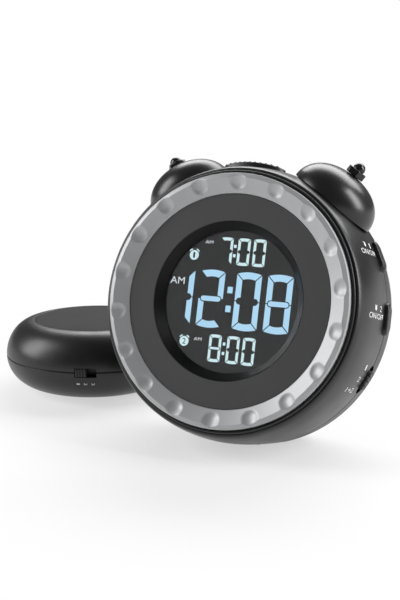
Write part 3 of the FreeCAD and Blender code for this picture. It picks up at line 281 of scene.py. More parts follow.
# Satin moulded ABS. The eye sees a near black with broad, soft reflections and no visible grain at
# arm's length; the grain of about 0.25 mm is drawn at 0.4 mm so that it shows close up.
satin_abs = moulded("satin_abs", "#131314", 0.36, 0.4, 0.012)

side_rows = [LIP_DEPTH + 1.1 + (SEAM_DEPTH - 0.3 - LIP_DEPTH - 1.1) * k / 14 for k in range(15)]
lip_turns = [math.radians(a) for a in (0, 15, 30, 45, 60, 72)]
bead_turns = [math.radians(a) for a in (0, 30, 60, 90, 120, 150, 180)]
bead_radius = (BEAD_OUTER - RING_POCKET) / 2
front_outline = [(FLANGE_RADIUS, RING_SEAT), (RING_POCKET, RING_SEAT)]
front_outline += [(RING_POCKET + bead_radius * (1 - math.cos(t)), BEAD_TOP + bead_radius * (1 - math.sin(t)))
                  for t in bead_turns]
front_outline += [(BEAD_OUTER, RING_SEAT + 0.45), (BEAD_OUTER + 0.4, RING_SEAT + 0.45)]
front_outline += [(LIP_RADIUS - 0.9 + 0.95 * math.sin(t), LIP_DEPTH + 0.9 * (1 - math.cos(t)))
                  for t in lip_turns]
front_outline += [(side_radius(d), d) for d in side_rows]
front_outline += [(SEAM_RADIUS - 0.3, SEAM_DEPTH), (SEAM_RADIUS - WALL, SEAM_DEPTH),
                  (side_radius(12) - WALL, 12), (side_radius(RING_SEAT + WALL) - WALL, RING_SEAT + WALL),
                  (FLANGE_RADIUS, RING_SEAT + WALL)]
front = turned("front_shell", [(r, -d) for r, d in front_outline])
snooze_hole = prism("snooze_tool", ellipse(SNOOZE_HALF_WIDTH + GAP, SNOOZE_HALF_DEPTH + GAP, 96), 48, 64)
moved(snooze_hole, Matrix.Translation((0, 0, -SNOOZE_DEPTH)) @ Matrix.Rotation(-math.pi / 2, 4, "X"))
cut(front, floor_block(), snooze_hole, *side_slots())
fit(front, satin_abs, "clock", ["front_housing"])


# The drum's rounded back, of the same satin ABS, closed against the front half along a fine seam. It has
# the speaker grille, the battery tray, the hole of the time-set key, the power socket's mouth and three
# deep screw wells.
BELLY_RADIUS = 57.1
BELLY_DEPTH = 36.0
REAR_RADIUS = 44.0
SPEAKER_Y = -15.0
GRILLE_RADIUS = 15.0
GRILLE_PITCH = 4.0
GRILLE_SLOT = 1.8
DOOR_Y = 20.5
DOOR_WIDTH = 48.0
DOOR_HEIGHT = 24.0
DOOR_THICKNESS = 1.6
DOOR_LEDGE = 1.4
TRAY_DEPTH = 41.1
TRAY_WALL = 1.6
REAR_KEY = (30.0, 0.0)
REAR_KEY_RADIUS = 4.0
SOCKET = (29.0, -21.0)
SOCKET_WIDTH = 8.9
SOCKET_HEIGHT = 3.2
SCREW_CIRCLE = 49.4
SCREW_ANGLES = (90, -50, -130)
SCREW_WELL = 2.35

steps = [k / 14 for k in range(15)]
back_curve = [(
    BELLY_RADIUS * (1 - t) ** 3 + 3 * BELLY_RADIUS * t * (1 - t) ** 2 + 3 * 50.3 * t * t * (1 - t)
    + REAR_RADIUS * t ** 3,
    BELLY_DEPTH * (1 - t) ** 3 + 3 * 43.6 * t * (1 - t) ** 2 + 3 * 50.9 * t * t * (1 - t) + DRUM_DEPTH
    * t ** 3)
    for t in steps]
rear_outline = [(SEAM_RADIUS - WALL, SEAM_DEPTH), (SEAM_RADIUS - 0.35, SEAM_DEPTH),
                (SEAM_RADIUS - 0.35, SEAM_DEPTH + 0.25), (SEAM_RADIUS, SEAM_DEPTH + 0.55)]
rear_outline += [(SEAM_RADIUS + 0.1 * k / 4, SEAM_DEPTH + 0.55 + (BELLY_DEPTH - SEAM_DEPTH - 0.55) * k / 4)
                 for k in range(1, 4)]
rear_outline += back_curve + [(30, DRUM_DEPTH), (0, DRUM_DEPTH), (0, DRUM_DEPTH - WALL),
                              (30, DRUM_DEPTH - WALL)]
rear_outline += [(r - WALL * (0.6 + 0.4 * (1 - t)), d - WALL * t) for t,
                 (r, d) in zip(steps[::-1], back_curve[::-1])]
rear = turned("rear_shell", [(r, -d) for r, d in rear_outline])


def grille_tool():
    """Geometry Nodes put one bar on each row and stretch it to the chord of the grille's circle."""
    tree = bpy.data.node_groups.new("grille_rows", "GeometryNodeTree")
    for label, kind in (("Radius", "NodeSocketFloat"), ("Pitch", "NodeSocketFloat"),
                        ("Slot", "NodeSocketFloat"),
                        ("Rows", "NodeSocketInt")):
        tree.interface.new_socket(name=label, in_out="INPUT", socket_type=kind)
    tree.interface.new_socket(name="Geometry", in_out="OUTPUT", socket_type="NodeSocketGeometry")
    given = add(tree, "NodeGroupInput")
    step = add(tree, "ShaderNodeCombineXYZ", {"Y": given.outputs["Pitch"]})
    last = add(tree, "ShaderNodeMath", {0: given.outputs["Rows"], 1: 1.0}, operation="SUBTRACT")
    span = add(tree, "ShaderNodeMath", {0: last.outputs[0], 1: given.outputs["Pitch"]}, operation="MULTIPLY")
    start = add(tree, "ShaderNodeMath", {0: span.outputs[0], 1: -0.5}, operation="MULTIPLY")
    first = add(tree, "ShaderNodeCombineXYZ", {"Y": start.outputs[0]})
    rows = add(tree, "GeometryNodeMeshLine",
               {"Count": given.outputs["Rows"], "Start Location": first.outputs[0],
                                              "Offset": step.outputs[0]}, mode="OFFSET")
    height = add(tree, "ShaderNodeSeparateXYZ", {0: add(tree, "GeometryNodeInputPosition").outputs[0]})
    square = add(tree, "ShaderNodeMath", {0: height.outputs["Y"], 1: 2.0}, operation="POWER")
    whole = add(tree, "ShaderNodeMath", {0: given.outputs["Radius"], 1: 2.0}, operation="POWER")
    rest = add(tree, "ShaderNodeMath", {0: whole.outputs[0], 1: square.outputs[0]}, operation="SUBTRACT")
    chord = add(tree, "ShaderNodeMath", {0: rest.outputs[0]}, operation="SQRT")
    size = add(tree, "ShaderNodeCombineXYZ", {"X": chord.outputs[0], "Y": given.outputs["Slot"], "Z": 1.0})
    bar = add(tree, "GeometryNodeMeshCube", {"Size": (2.0, 1.0, 8.0)})
    bars = add(tree, "GeometryNodeInstanceOnPoints", {"Points": rows.outputs[0], "Instance": bar.outputs[0],
                                                      "Scale": size.outputs[0]})
    real = add(tree, "GeometryNodeRealizeInstances", {0: bars.outputs[0]})
    dressed = add(tree, "GeometryNodeSetMaterial", {"Geometry": real.outputs[0], "Material": satin_abs})
    add(tree, "NodeGroupOutput", {"Geometry": dressed.outputs[0]})
    tool = made("grille_tool", [(0, 0, 0)], [])
    grow(tool, tree, {"Radius": GRILLE_RADIUS, "Pitch": GRILLE_PITCH, "Slot": GRILLE_SLOT, "Rows": 7})
    return moved(tool, Matrix.Translation((0, SPEAKER_Y, -DRUM_DEPTH)))


def grow(piece, tree, values):
    """Runs a Geometry Nodes tree on a piece with its named inputs and keeps the plain result."""
    modifier = piece.modifiers.new(tree.name, "NODES")
    modifier.node_group = tree
    for item in tree.interface.items_tree:
        if item.item_type == "SOCKET" and item.in_out == "INPUT" and item.name in values:
            modifier[item.identifier] = values[item.name]
    return plain(piece)


def door_block(grow_by, low, high):
    return block("door_tool", (-DOOR_WIDTH / 2 - grow_by, DOOR_Y - DOOR_HEIGHT / 2 - grow_by, -high),
                 (DOOR_WIDTH / 2 + grow_by, DOOR_Y + DOOR_HEIGHT / 2 + grow_by, -low))


wells = []
for angle in SCREW_ANGLES:
    x = SCREW_CIRCLE * math.cos(math.radians(angle))
    y = SCREW_CIRCLE * math.sin(math.radians(angle))
    well = prism("well_tool", ellipse(SCREW_WELL, SCREW_WELL, 24, x, y), -60, -SEAM_DEPTH - WALL)
    wells.append(well)
key_hole = prism("key_hole_tool", ellipse(REAR_KEY_RADIUS + GAP, REAR_KEY_RADIUS + GAP, 48, *REAR_KEY),
                 -60, -50)
socket_hole = prism("socket_tool", [(SOCKET[0] + y, SOCKET[1] + x) for x, y in
                                    slot_outline(SOCKET_WIDTH + 2 * GAP, SOCKET_HEIGHT + 2 * GAP)], -60, -50)
cut(rear, floor_block(), grille_tool(), key_hole, socket_hole,
    door_block(GAP, DRUM_DEPTH - DOOR_THICKNESS - GAP, 60),
    door_block(-DOOR_LEDGE, 45, 60), *wells, *side_slots())
tray = door_block(TRAY_WALL - DOOR_LEDGE, TRAY_DEPTH - TRAY_WALL, DRUM_DEPTH - WALL / 2)
cut(tray, door_block(-DOOR_LEDGE, TRAY_DEPTH, 60))
tubes = []
for angle in SCREW_ANGLES:
    tube = turned("tube", [(SCREW_WELL, 0), (SCREW_WELL + 1, 0), (SCREW_WELL + 1, 12), (SCREW_WELL, 12)], 24)
    x = SCREW_CIRCLE * math.cos(math.radians(angle))
    y = SCREW_CIRCLE * math.sin(math.radians(angle))
    tubes.append(moved(tube, Matrix.Translation((x, y, -SEAM_DEPTH - WALL - 12))))
join(rear, tray, *tubes)
fit(rear, satin_abs, "clock", ["rear_cover"])


# The silver ring, moulded in ABS and sprayed with a satin aluminium paint. Its dished face rises to a
# ridge and falls in a chamfer, and eighteen thumb scoops run out through the ridge. The form is one
# height rule over a fine polar grid, so that each scoop's edge is softened as paint softens it.
RING_INNER = 43.0
RING_OUTER = 50.9
RING_RIDGE = 49.0
RIDGE_RISE = 2.9
EDGE_RISE = 2.1
SCOOPS = 18
SCOOP_RADIUS = 6.6
SCOOP_BITE = 0.85
SCOOP_INNER = 44.4
SCOOP_EDGE = 0.16
RING_STEPS = 1080

slope = math.atan2(RIDGE_RISE, RING_RIDGE - RING_INNER)
scoop_lift = SCOOP_RADIUS - SCOOP_BITE
scoop_start = (SCOOP_INNER - RING_INNER) / math.cos(slope) + math.sqrt(SCOOP_RADIUS ** 2 - scoop_lift ** 2)


def ring_height(radius, angle):
    """Height of the ring's face over its inner edge, with the nearest scoop pressed into it."""
    pitch = 2 * math.pi / SCOOPS
    off = (angle % pitch) - pitch / 2
    across = radius * math.sin(off)
    along = radius * math.cos(off) - RING_INNER
    dish = math.tan(slope) * (radius - RING_INNER)
    fall = RIDGE_RISE - (RIDGE_RISE - EDGE_RISE) * (radius - RING_RIDGE) / (RING_OUTER - RING_RIDGE)
    face = min(dish, fall)
    near = max(0.0, scoop_start - along / math.cos(slope))
    left = SCOOP_RADIUS ** 2 - across ** 2 - near ** 2
    if left <= 0:
        return face
    bowl = math.tan(slope) * along + (scoop_lift - math.sqrt(left)) / math.cos(slope)
    blend = max(0.0, 1 - abs(face - bowl) / (2 * SCOOP_EDGE))
    return min(face, bowl) - SCOOP_EDGE * blend * blend / 2


ring_radii = [RING_INNER + 0.12 + 0.28 * k for k in range(21)] + [48.9, 49.0, 49.12, 49.4, 49.8, 50.2, 50.55,
    50.78]
ring_points = []
for k in range(RING_STEPS):
    t = 2 * math.pi * k / RING_STEPS
    edge = [(RING_INNER, -RING_SEAT), (RING_INNER, ring_height(RING_INNER, t) - 0.1)]
    edge += [(r, ring_height(r, t)) for r in ring_radii]
    edge += [(RING_OUTER, ring_height(RING_OUTER, t) - 0.1), (RING_OUTER, -RING_SEAT)]
    ring_points += [(r * math.cos(t), r * math.sin(t), z) for r, z in edge]
rows = len(ring_radii) + 4
ring_faces = []
for k in range(RING_STEPS):
    a = k * rows
    b = (k + 1) % RING_STEPS * rows
    ring_faces += [(a + i, b + i, b + (i + 1) % rows, a + (i + 1) % rows) for i in range(rows)]
ring = made("scalloped_ring", ring_points, ring_faces)

# Satin aluminium paint: a fine metal flake under a clear binder, which the eye reads as an even, silky
# grey that brightens softly towards the light. The flake, real size about 0.02 mm, is drawn at 0.25 mm.
silver_paint, tree = blank("satin_aluminium_paint")
place = add(tree, "ShaderNodeTexCoord").outputs["Object"]
flake = add(tree, "ShaderNodeTexVoronoi", {"Vector": place, "Scale": 1 / (0.25 * MM)})
tone = add(tree, "ShaderNodeMapRange", {"Value": flake.outputs["Distance"], "To Min": 0.0, "To Max": 1.0})
colour = add(tree, "ShaderNodeMix",
             {"Factor": tone.outputs["Result"], 6: srgb("#A9AAAC"), 7: srgb("#B7B8B9")},
             data_type="RGBA")
bump = add(tree, "ShaderNodeBump",
           {"Height": flake.outputs["Distance"], "Strength": 0.12, "Distance": 0.004 * MM})
shader = add(tree, "ShaderNodeBsdfPrincipled", {
    "Base Color": colour.outputs[2], "Metallic": 0.35, "Roughness": 0.46, "Normal": bump.outputs["Normal"]})
add(tree, "ShaderNodeOutputMaterial", {"Surface": shader.outputs["BSDF"]})
fit(ring, silver_paint, "clock", ["bezel_ring"], sharp=60)


# A flat annulus of dark grey ABS with a matt, fine-grained surface, dropped into the ring.
PLATE_INNER = 32.0
PLATE_OUTER = 42.85
PLATE_DEPTH = 0.3
plate = turned("plate",
               [(PLATE_INNER, -RING_SEAT), (PLATE_OUTER, -RING_SEAT), (PLATE_OUTER, -PLATE_DEPTH - 0.15),
                         (PLATE_OUTER - 0.15, -PLATE_DEPTH), (PLATE_INNER + 0.1, -PLATE_DEPTH),
                         (PLATE_INNER, -PLATE_DEPTH - 0.1)])
# Matt ABS: the eye sees an even dark grey with hardly any reflection.
matt_abs = moulded("matt_abs", "#4A4A4B", 0.72, 0.3, 0.01, specular=0.3, spread=0.04)
fit(plate, matt_abs, "clock", ["face_plate"])


# The conical wall between plate and lens, in black ABS with a soft sheen.
BEVEL_RADIUS = 28.65
LENS_FRONT = 3.8
LENS_RADIUS = 31.0
bevel = turned("bevel", [
    (PLATE_INNER - 0.1, -RING_SEAT), (PLATE_INNER - 0.1, -PLATE_DEPTH - 0.1),
    (PLATE_INNER - 0.25, -PLATE_DEPTH),
    (BEVEL_RADIUS + 0.15, -LENS_FRONT + 0.25), (BEVEL_RADIUS, -LENS_FRONT), (LENS_RADIUS + 1.4, -LENS_FRONT),
    (LENS_RADIUS + 1.4, -RING_SEAT - 1.4), (FLANGE_RADIUS - 0.2, -RING_SEAT - 1.4),
    (FLANGE_RADIUS - 0.2, -RING_SEAT)])
# Fine-finished ABS: a deep black with a soft sheen that follows the cone.
sheen_abs = moulded("soft_sheen_abs", "#070708", 0.4, 0.5, 0.002, specular=0.22, spread=0.04)
fit(bevel, sheen_abs, "clock", ["display_bevel"])


# A disc of clear acrylic, 1.2 mm thick, polished on both faces.
LENS_BACK = 5.0
lens = turned("lens",
              [(0, -LENS_FRONT - 0.02), (LENS_RADIUS - 0.1, -LENS_FRONT - 0.02),
               (LENS_RADIUS, -LENS_FRONT - 0.12),
                       (LENS_RADIUS, -LENS_BACK + 0.1), (LENS_RADIUS - 0.1, -LENS_BACK), (0, -LENS_BACK)])
# Clear acrylic with a weak reflection and the faint haze of a wiped window.
acrylic, tree = blank("clear_acrylic")
place = add(tree, "ShaderNodeTexCoord").outputs["Object"]
smear = add(tree, "ShaderNodeTexNoise", {"Vector": place, "Scale": 1 / (9 * MM), "Detail": 2.0})
haze = add(tree, "ShaderNodeMapRange", {"Value": smear.outputs["Fac"], "To Min": 0.03, "To Max": 0.07})
shader = add(tree, "ShaderNodeBsdfPrincipled", {
    "Base Color": srgb("#F2F4F5"), "Roughness": haze.outputs["Result"], "IOR": 1.49,
    "Transmission Weight": 1.0,
    "Specular IOR Level": 0.08})
add(tree, "ShaderNodeOutputMaterial", {"Surface": shader.outputs["BSDF"]})
fit(lens, acrylic, "clock", ["display_lens"])


# A negative liquid-crystal panel: a dark field on which lit segments show the time between two alarm
# times, with AM marks and two numbered alarm signs. Each lit shape is a thin plate on the panel's face.
PANEL_FRONT = 5.3
LIT_THICKNESS = 0.06
LARGE = {"width": 10.6, "height": 22.0, "stroke": 2.4, "gap": 0.42, "bow": 0.75}
SMALL = {"width": 5.3, "height": 10.5, "stroke": 1.1, "gap": 0.3, "bow": 0.3}
SEGMENTS = {"0": "abcdef", "1": "bc", "2": "abged", "7": "abc", "8": "abcdefg"}


def segment_outlines(width, height, stroke, gap, bow):
    """The seven segments of one figure, keyed a to g, as outlines about the figure's centre.

    The top and bottom bars bow outwards, the corners are mitred, and the uprights are notched round the
    ends of the middle bar, which is a capsule.
    """
    x = width / 2
    y = height / 2
    inner_x = x - stroke
    inner_y = y - stroke
    mitre = gap * 0.7
    steps = [1 - k / 4 for k in range(9)]
    top = [((x - mitre) * t, y + bow * (1 - t * t)) for t in steps]
    top += [(-(inner_x - mitre) * t, inner_y + 0.6 * bow * (1 - t * t)) for t in steps]
    half = 0.42 * stroke
    reach = x - 0.42 * stroke - half
    notch = half + gap
    first = math.asin(gap / 2 / notch)
    bite = [first + (math.acos(min(1.0, (inner_x - reach) / notch)) - first) * k / 6 for k in range(7)]
    side = [(x, y - mitre), (x, gap / 2)]
    side += [(reach + notch * math.cos(t), notch * math.sin(t)) for t in bite]
    side += [(inner_x, inner_y - mitre)]
    ends = [math.radians(-90 + 30 * k) for k in range(7)]
    bar = [(reach + half * math.cos(t), half * math.sin(t)) for t in ends]
    bar += [(-px, -py) for px, py in bar]
    return {
        "a": top, "b": side, "c": [(px, -py) for px, py in side], "d": [(px, -py) for px, py in top],
        "e": [(-px, -py) for px, py in side], "f": [(-px, py) for px, py in side], "g": bar}


def lit_plates(name, outlines):
    """Thin plates with these outlines on the panel's face."""
    plates = [prism(name, outline, -PANEL_FRONT, -PANEL_FRONT + LIT_THICKNESS) for outline in outlines]
    return join(*plates)


def figures(text, style, places, y):
    shapes = segment_outlines(**style)
    found = []
    for figure, x in zip(text, places):
        found += [[(px + x, py + y) for px, py in shapes[key]] for key in SEGMENTS[figure]]
    return found


def colon(x, y, spread, size):
    half = size / 2
    square = [(-half, -half), (half, -half), (half, half), (-half, half)]
    return [[(px * 0.85 + x, py + y + way * spread) for px, py in square] for way in (-1, 1)]


def lettering(text, size, spread=1.0):
    """Flat lettering as a thin mesh, centred on the origin."""
    curve = bpy.data.curves.new("lettering", "FONT")
    curve.body = text
    curve.size = size
    curve.align_x = "CENTER"
    curve.align_y = "CENTER"
    curve.space_character = spread
    curve.extrude = LIT_THICKNESS / 2
    curve.resolution_u = 4
    piece = bpy.data.objects.new("lettering", curve)
    bpy.context.scene.collection.objects.link(piece)
    bpy.context.view_layer.update()
    mesh = bpy.data.meshes.new_from_object(piece.evaluated_get(bpy.context.evaluated_depsgraph_get()))
    bpy.data.objects.remove(piece)
    flat = bpy.data.objects.new("lettering", mesh)
    bpy.context.scene.collection.objects.link(flat)
    return flat


def sized(piece, width, height):
    """Stretches lettering to a width and a height."""
    box = [[getattr(vertex.co, axis) for vertex in piece.data.vertices] for axis in "xy"]
    wide, high = (max(row) - min(row) for row in box)
    centre = Matrix.Translation((-(max(box[0]) + min(box[0])) / 2, -(max(box[1]) + min(box[1])) / 2, 0))
    return moved(piece, Matrix.Diagonal((width / wide, height / high, 1, 1)) @ centre)


def shifted(piece, x, y, z):
    return moved(piece, Matrix.Translation((x, y, z)))


def lit_material(name, colour):
    """A lit segment: an even glow, with the faint unevenness of a backlight."""
    material, tree = blank(name)
    place = add(tree, "ShaderNodeTexCoord").outputs["Object"]
    drift = add(tree, "ShaderNodeTexNoise", {"Vector": place, "Scale": 1 / (14 * MM), "Detail": 1.0})
    power = add(tree, "ShaderNodeMapRange", {"Value": drift.outputs["Fac"], "To Min": 0.98, "To Max": 1.12})
    glow = add(tree, "ShaderNodeEmission", {"Color": srgb(colour), "Strength": power.outputs["Result"]})
    add(tree, "ShaderNodeOutputMaterial", {"Surface": glow.outputs["Emission"]})
    return material


time_shapes = figures("1208", LARGE, (-22.2, -8.9, 6.85, 20.1), 0.55) + colon(-0.85, 0.85, 3.8, 2.6)
upper_shapes = figures("700", SMALL, (-4.4, 3.1, 9.8), 20.2) + colon(-0.75, 20.4, 1.9, 1.25)
lower_shapes = figures("800", SMALL, (-4.7, 3.1, 9.8), -19.15) + colon(-0.8, -18.95, 1.9, 1.25)
time_digits = lit_plates("time_digits", time_shapes)
# Backlit segments through blue-white glass ink: the large time is sky blue, the alarm times paler.
fit(time_digits, lit_material("sky_blue_segment", "#B4E0FB"), "clock")
pale_segment = lit_material("pale_blue_segment", "#D6F1F5")
alarm_digits = lit_plates("alarm_digits", upper_shapes + lower_shapes)
fit(alarm_digits, pale_segment, "clock")
day_marks = []
for width, height, x, y in ((6.4, 2.8, -24.4, 6.95), (3.4, 1.35, -12.2, 23.4), (3.4, 1.35, -12.5, -16.1)):
    day_marks.append(shifted(sized(lettering("AM", 3), width, height), x, y,
                             -PANEL_FRONT + LIT_THICKNESS / 2))
day_marks[0].name = "day_marks"
join(*day_marks)
fit(day_marks[0], lit_material("white_segment", "#D9E2E6"), "clock")

SIGN_RADIUS = 2.0
SIGN_BELL_INNER = 2.35
SIGN_BELL_OUTER = 2.8
for number, (x, y) in (("1", (-18.3, 17.7)), ("2", (-18.4, -17.5))):
    outlines = [ellipse(SIGN_RADIUS, SIGN_RADIUS, 32, x, y)]
    for middle in (53, 127):
        turns = [math.radians(middle - 17 + 34 * k / 8) for k in range(9)]
        outlines.append(band(SIGN_BELL_INNER, SIGN_BELL_OUTER, turns, x, y))
    sign = lit_plates("alarm_sign_" + number, outlines)
    fit(sign, pale_segment, "clock")
    figure = shifted(sized(lettering(number, 3), 0.85 if number == "1" else 1.5, 2.3), x, y,
                     -PANEL_FRONT + LIT_THICKNESS * 1.5)
    figure.name = "alarm_number_" + number
    dark = bpy.data.materials.get("dark_panel") or moulded("dark_panel", "#0C0D0E", 0.6, 0.6, 0.001,
                                                           specular=0.1)
    fit(figure, dark, "clock")


# Two domes of thin steel, spun and sprayed satin black, sprung close round the drum.
BELL_ANGLE = 34.7
BELL_RADIUS = 18.7
BELL_HEIGHT = 13.9
BELL_WALL = 1.0
BELL_RIM = 54.7
BELL_DEPTH = 24.4
BELL_POWER = 2.15


def bell_outline(radius, height):
    turns = [math.pi / 2 * k / 28 for k in range(28)]
    power = 2 / BELL_POWER
    return [(radius * math.cos(t) ** power, height * math.sin(t) ** power) for t in turns] + [(0, height)]


def drum_tool(grow_by):
    """The drum's form, grown a little, that trims the bells' rims."""
    rows = [(0, 0.5 - grow_by), (LIP_RADIUS + grow_by, 0.5 - grow_by)]
    rows += [(side_radius(d) + grow_by, d) for d in (3, 5, 8, 11, 15, 20, 25, SEAM_DEPTH)]
    rows += [(r + grow_by, d + grow_by) for r, d in back_curve] + [(0, DRUM_DEPTH + grow_by)]
    return turned("drum_tool", [(r, -d) for r, d in rows], 144)


# Satin black paint over steel: smoother than the moulded case, with slightly crisper reflections.
black_paint = moulded("satin_black_paint", "#131314", 0.3, 1.2, 0.006, spread=0.03)
for side, angle in (("left", 90 + BELL_ANGLE), ("right", 90 - BELL_ANGLE)):
    outline = bell_outline(BELL_RADIUS, BELL_HEIGHT) + bell_outline(BELL_RADIUS - BELL_WALL,
        BELL_HEIGHT - BELL_WALL)[::-1]
    bell = turned("bell_dome_" + side, outline, 128)
    moved(bell, radial(angle, BELL_DEPTH) @ Matrix.Translation((0, 0, BELL_RIM)))
    cut(bell, drum_tool(GAP))
    fit(bell, black_paint, "clock", ["bell_" + side])


# Acorn nuts in gloss black that hold the bells on their studs: a hexagon flange under a round cap.
FINIAL_FLANGE = 4.3
FINIAL_FLANGE_HEIGHT = 2.8
FINIAL_RADIUS = 2.6
FINIAL_HEIGHT = 5.9
# Gloss black enamel: a hard, wet-looking shine with small bright highlights.
black_enamel = moulded("gloss_black_enamel", "#0C0C0D", 0.14, 1.5, 0.004, spread=0.03)
for side, angle in (("left", 90 + BELL_ANGLE), ("right", 90 - BELL_ANGLE)):
    hexagon = [(FINIAL_FLANGE * math.cos(math.radians(60 * k + 30)),
                FINIAL_FLANGE * math.sin(math.radians(60 * k + 30)))
               for k in range(6)]
    flange = prism("finial_nut_" + side, hexagon, 0.02, FINIAL_FLANGE_HEIGHT)
    bevelled = flange.modifiers.new("edges", "BEVEL")
    bevelled.width = 0.35
    bevelled.segments = 3
    plain(flange)
    straight = FINIAL_HEIGHT - FINIAL_RADIUS
    turns = [math.pi / 2 * k / 12 for k in range(12)]
    crown = [(0, 0.05), (FINIAL_RADIUS - 0.25, 0.05), (FINIAL_RADIUS - 0.25, FINIAL_FLANGE_HEIGHT + 0.15),
             (FINIAL_RADIUS, FINIAL_FLANGE_HEIGHT + 0.4)]
    crown += [(FINIAL_RADIUS * math.cos(t), straight + FINIAL_RADIUS * math.sin(t))
              for t in turns] + [(0, FINIAL_HEIGHT)]
    join(flange, turned("acorn", crown, 48))
    moved(flange, radial(angle, BELL_DEPTH) @ Matrix.Translation((0, 0, BELL_RIM + BELL_HEIGHT)))
    fit(flange, black_enamel, "clock", ["finial_" + side])


# A wide oval key of soft-touch black ABS in the top of the drum. Its crown follows the drum and carries
# ribs that run from front to back, which give the finger its grip and the outline its small teeth.
SNOOZE_TOP = 57.7
SNOOZE_RIB_PITCH = 2.2
SNOOZE_EDGE = 0.6


def snooze_ribs():
    """Geometry Nodes set a half-round rib on each step of the crown, as long as the oval is deep there."""
    tree = bpy.data.node_groups.new("snooze_ribs", "GeometryNodeTree")
    for label, kind in (("Crown", "NodeSocketFloat"), ("Pitch", "NodeSocketFloat"),
                        ("Half Width", "NodeSocketFloat"),
                        ("Half Depth", "NodeSocketFloat"), ("Rib Radius", "NodeSocketFloat"),
                        ("Ribs", "NodeSocketInt")):
        tree.interface.new_socket(name=label, in_out="INPUT", socket_type=kind)
    tree.interface.new_socket(name="Geometry", in_out="OUTPUT", socket_type="NodeSocketGeometry")
    given = add(tree, "NodeGroupInput")
    last = add(tree, "ShaderNodeMath", {0: given.outputs["Ribs"], 1: 1.0}, operation="SUBTRACT")
    span = add(tree, "ShaderNodeMath", {0: last.outputs[0], 1: given.outputs["Pitch"]}, operation="MULTIPLY")
    start = add(tree, "ShaderNodeMath", {0: span.outputs[0], 1: -0.5}, operation="MULTIPLY")
    first = add(tree, "ShaderNodeCombineXYZ", {"X": start.outputs[0]})
    step = add(tree, "ShaderNodeCombineXYZ", {"X": given.outputs["Pitch"]})
    line = add(tree, "GeometryNodeMeshLine",
               {"Count": given.outputs["Ribs"], "Start Location": first.outputs[0],
                                              "Offset": step.outputs[0]}, mode="OFFSET")
    at = add(tree, "ShaderNodeSeparateXYZ", {0: add(tree, "GeometryNodeInputPosition").outputs[0]})
    turn = add(tree, "ShaderNodeMath", {0: at.outputs["X"], 1: given.outputs["Crown"]}, operation="DIVIDE")
    rise = add(tree, "ShaderNodeMath", {0: turn.outputs[0]}, operation="COSINE")
    run = add(tree, "ShaderNodeMath", {0: turn.outputs[0]}, operation="SINE")
    high = add(tree, "ShaderNodeMath", {0: rise.outputs[0], 1: given.outputs["Crown"]}, operation="MULTIPLY")
    wide = add(tree, "ShaderNodeMath", {0: run.outputs[0], 1: given.outputs["Crown"]}, operation="MULTIPLY")
    spot = add(tree, "ShaderNodeCombineXYZ", {"X": wide.outputs[0], "Y": high.outputs[0]})
    bent = add(tree, "GeometryNodeSetPosition", {"Geometry": line.outputs[0], "Position": spot.outputs[0]})
    share = add(tree, "ShaderNodeMath", {0: at.outputs["X"], 1: given.outputs["Half Width"]},
                operation="DIVIDE")
    square = add(tree, "ShaderNodeMath", {0: share.outputs[0], 1: 2.0}, operation="POWER")
    rest = add(tree, "ShaderNodeMath", {0: 1.0, 1: square.outputs[0]}, operation="SUBTRACT")
    root = add(tree, "ShaderNodeMath", {0: rest.outputs[0]}, operation="SQRT")
    chord = add(tree, "ShaderNodeMath", {0: root.outputs[0], 1: given.outputs["Half Depth"]},
                operation="MULTIPLY")
    size = add(tree, "ShaderNodeCombineXYZ", {"X": 1.0, "Y": 1.0, "Z": chord.outputs[0]})
    rib = add(tree, "GeometryNodeMeshCylinder",
              {"Vertices": 12, "Radius": given.outputs["Rib Radius"], "Depth": 2.0})
    ribs = add(tree, "GeometryNodeInstanceOnPoints", {"Points": bent.outputs[0], "Instance": rib.outputs[0],
                                                      "Scale": size.outputs[0]})
    real = add(tree, "GeometryNodeRealizeInstances", {0: ribs.outputs[0]})
    dressed = add(tree, "GeometryNodeSetMaterial", {"Geometry": real.outputs[0], "Material": satin_abs})
    add(tree, "NodeGroupOutput", {"Geometry": dressed.outputs[0]})
    piece = made("snooze_ribs", [(0, 0, 0)], [])
    return grow(piece, tree,
                {"Crown": SNOOZE_TOP - 0.7, "Pitch": SNOOZE_RIB_PITCH, "Half Width": SNOOZE_HALF_WIDTH - 0.2,
                              "Half Depth": SNOOZE_HALF_DEPTH - 0.75, "Rib Radius": 0.7, "Ribs": 11})


def capped(name, outline, height, rounding, foot, steps=5):
    """A key's cap: an outline in X and Y drawn up to a surface height(x, y), with a rounded edge."""
    n = len(outline)
    points = [(x, y, foot) for x, y in outline]
    rings = 1
    reach = min(max(abs(x) for x, y in outline), max(abs(y) for x, y in outline))
    for k in range(steps + 1):
        t = math.pi / 2 * k / steps
        inset = 1 - rounding * (1 - math.cos(t)) / reach
        points += [(x * inset, y * inset, height(x * inset, y * inset) - rounding * (1 - math.sin(t))) for x,
                   y in outline]
        rings += 1
    core = 1 - rounding / reach
    for share in (0.8, 0.6, 0.4, 0.2):
        points += [(x * core * share, y * core * share, height(x * core * share, y * core * share)) for x,
                   y in outline]
        rings += 1
    points.append((0, 0, height(0, 0)))
    faces = [tuple(range(n))[::-1]]
    for j in range(rings - 1):
        faces += [(j * n + i, j * n + (i + 1) % n, (j + 1) * n + (i + 1) % n, (j + 1) * n + i)
                  for i in range(n)]
    tip = rings * n
    faces += [((rings - 1) * n + i, (rings - 1) * n + (i + 1) % n, tip) for i in range(n)]
    return made(name, points, faces)


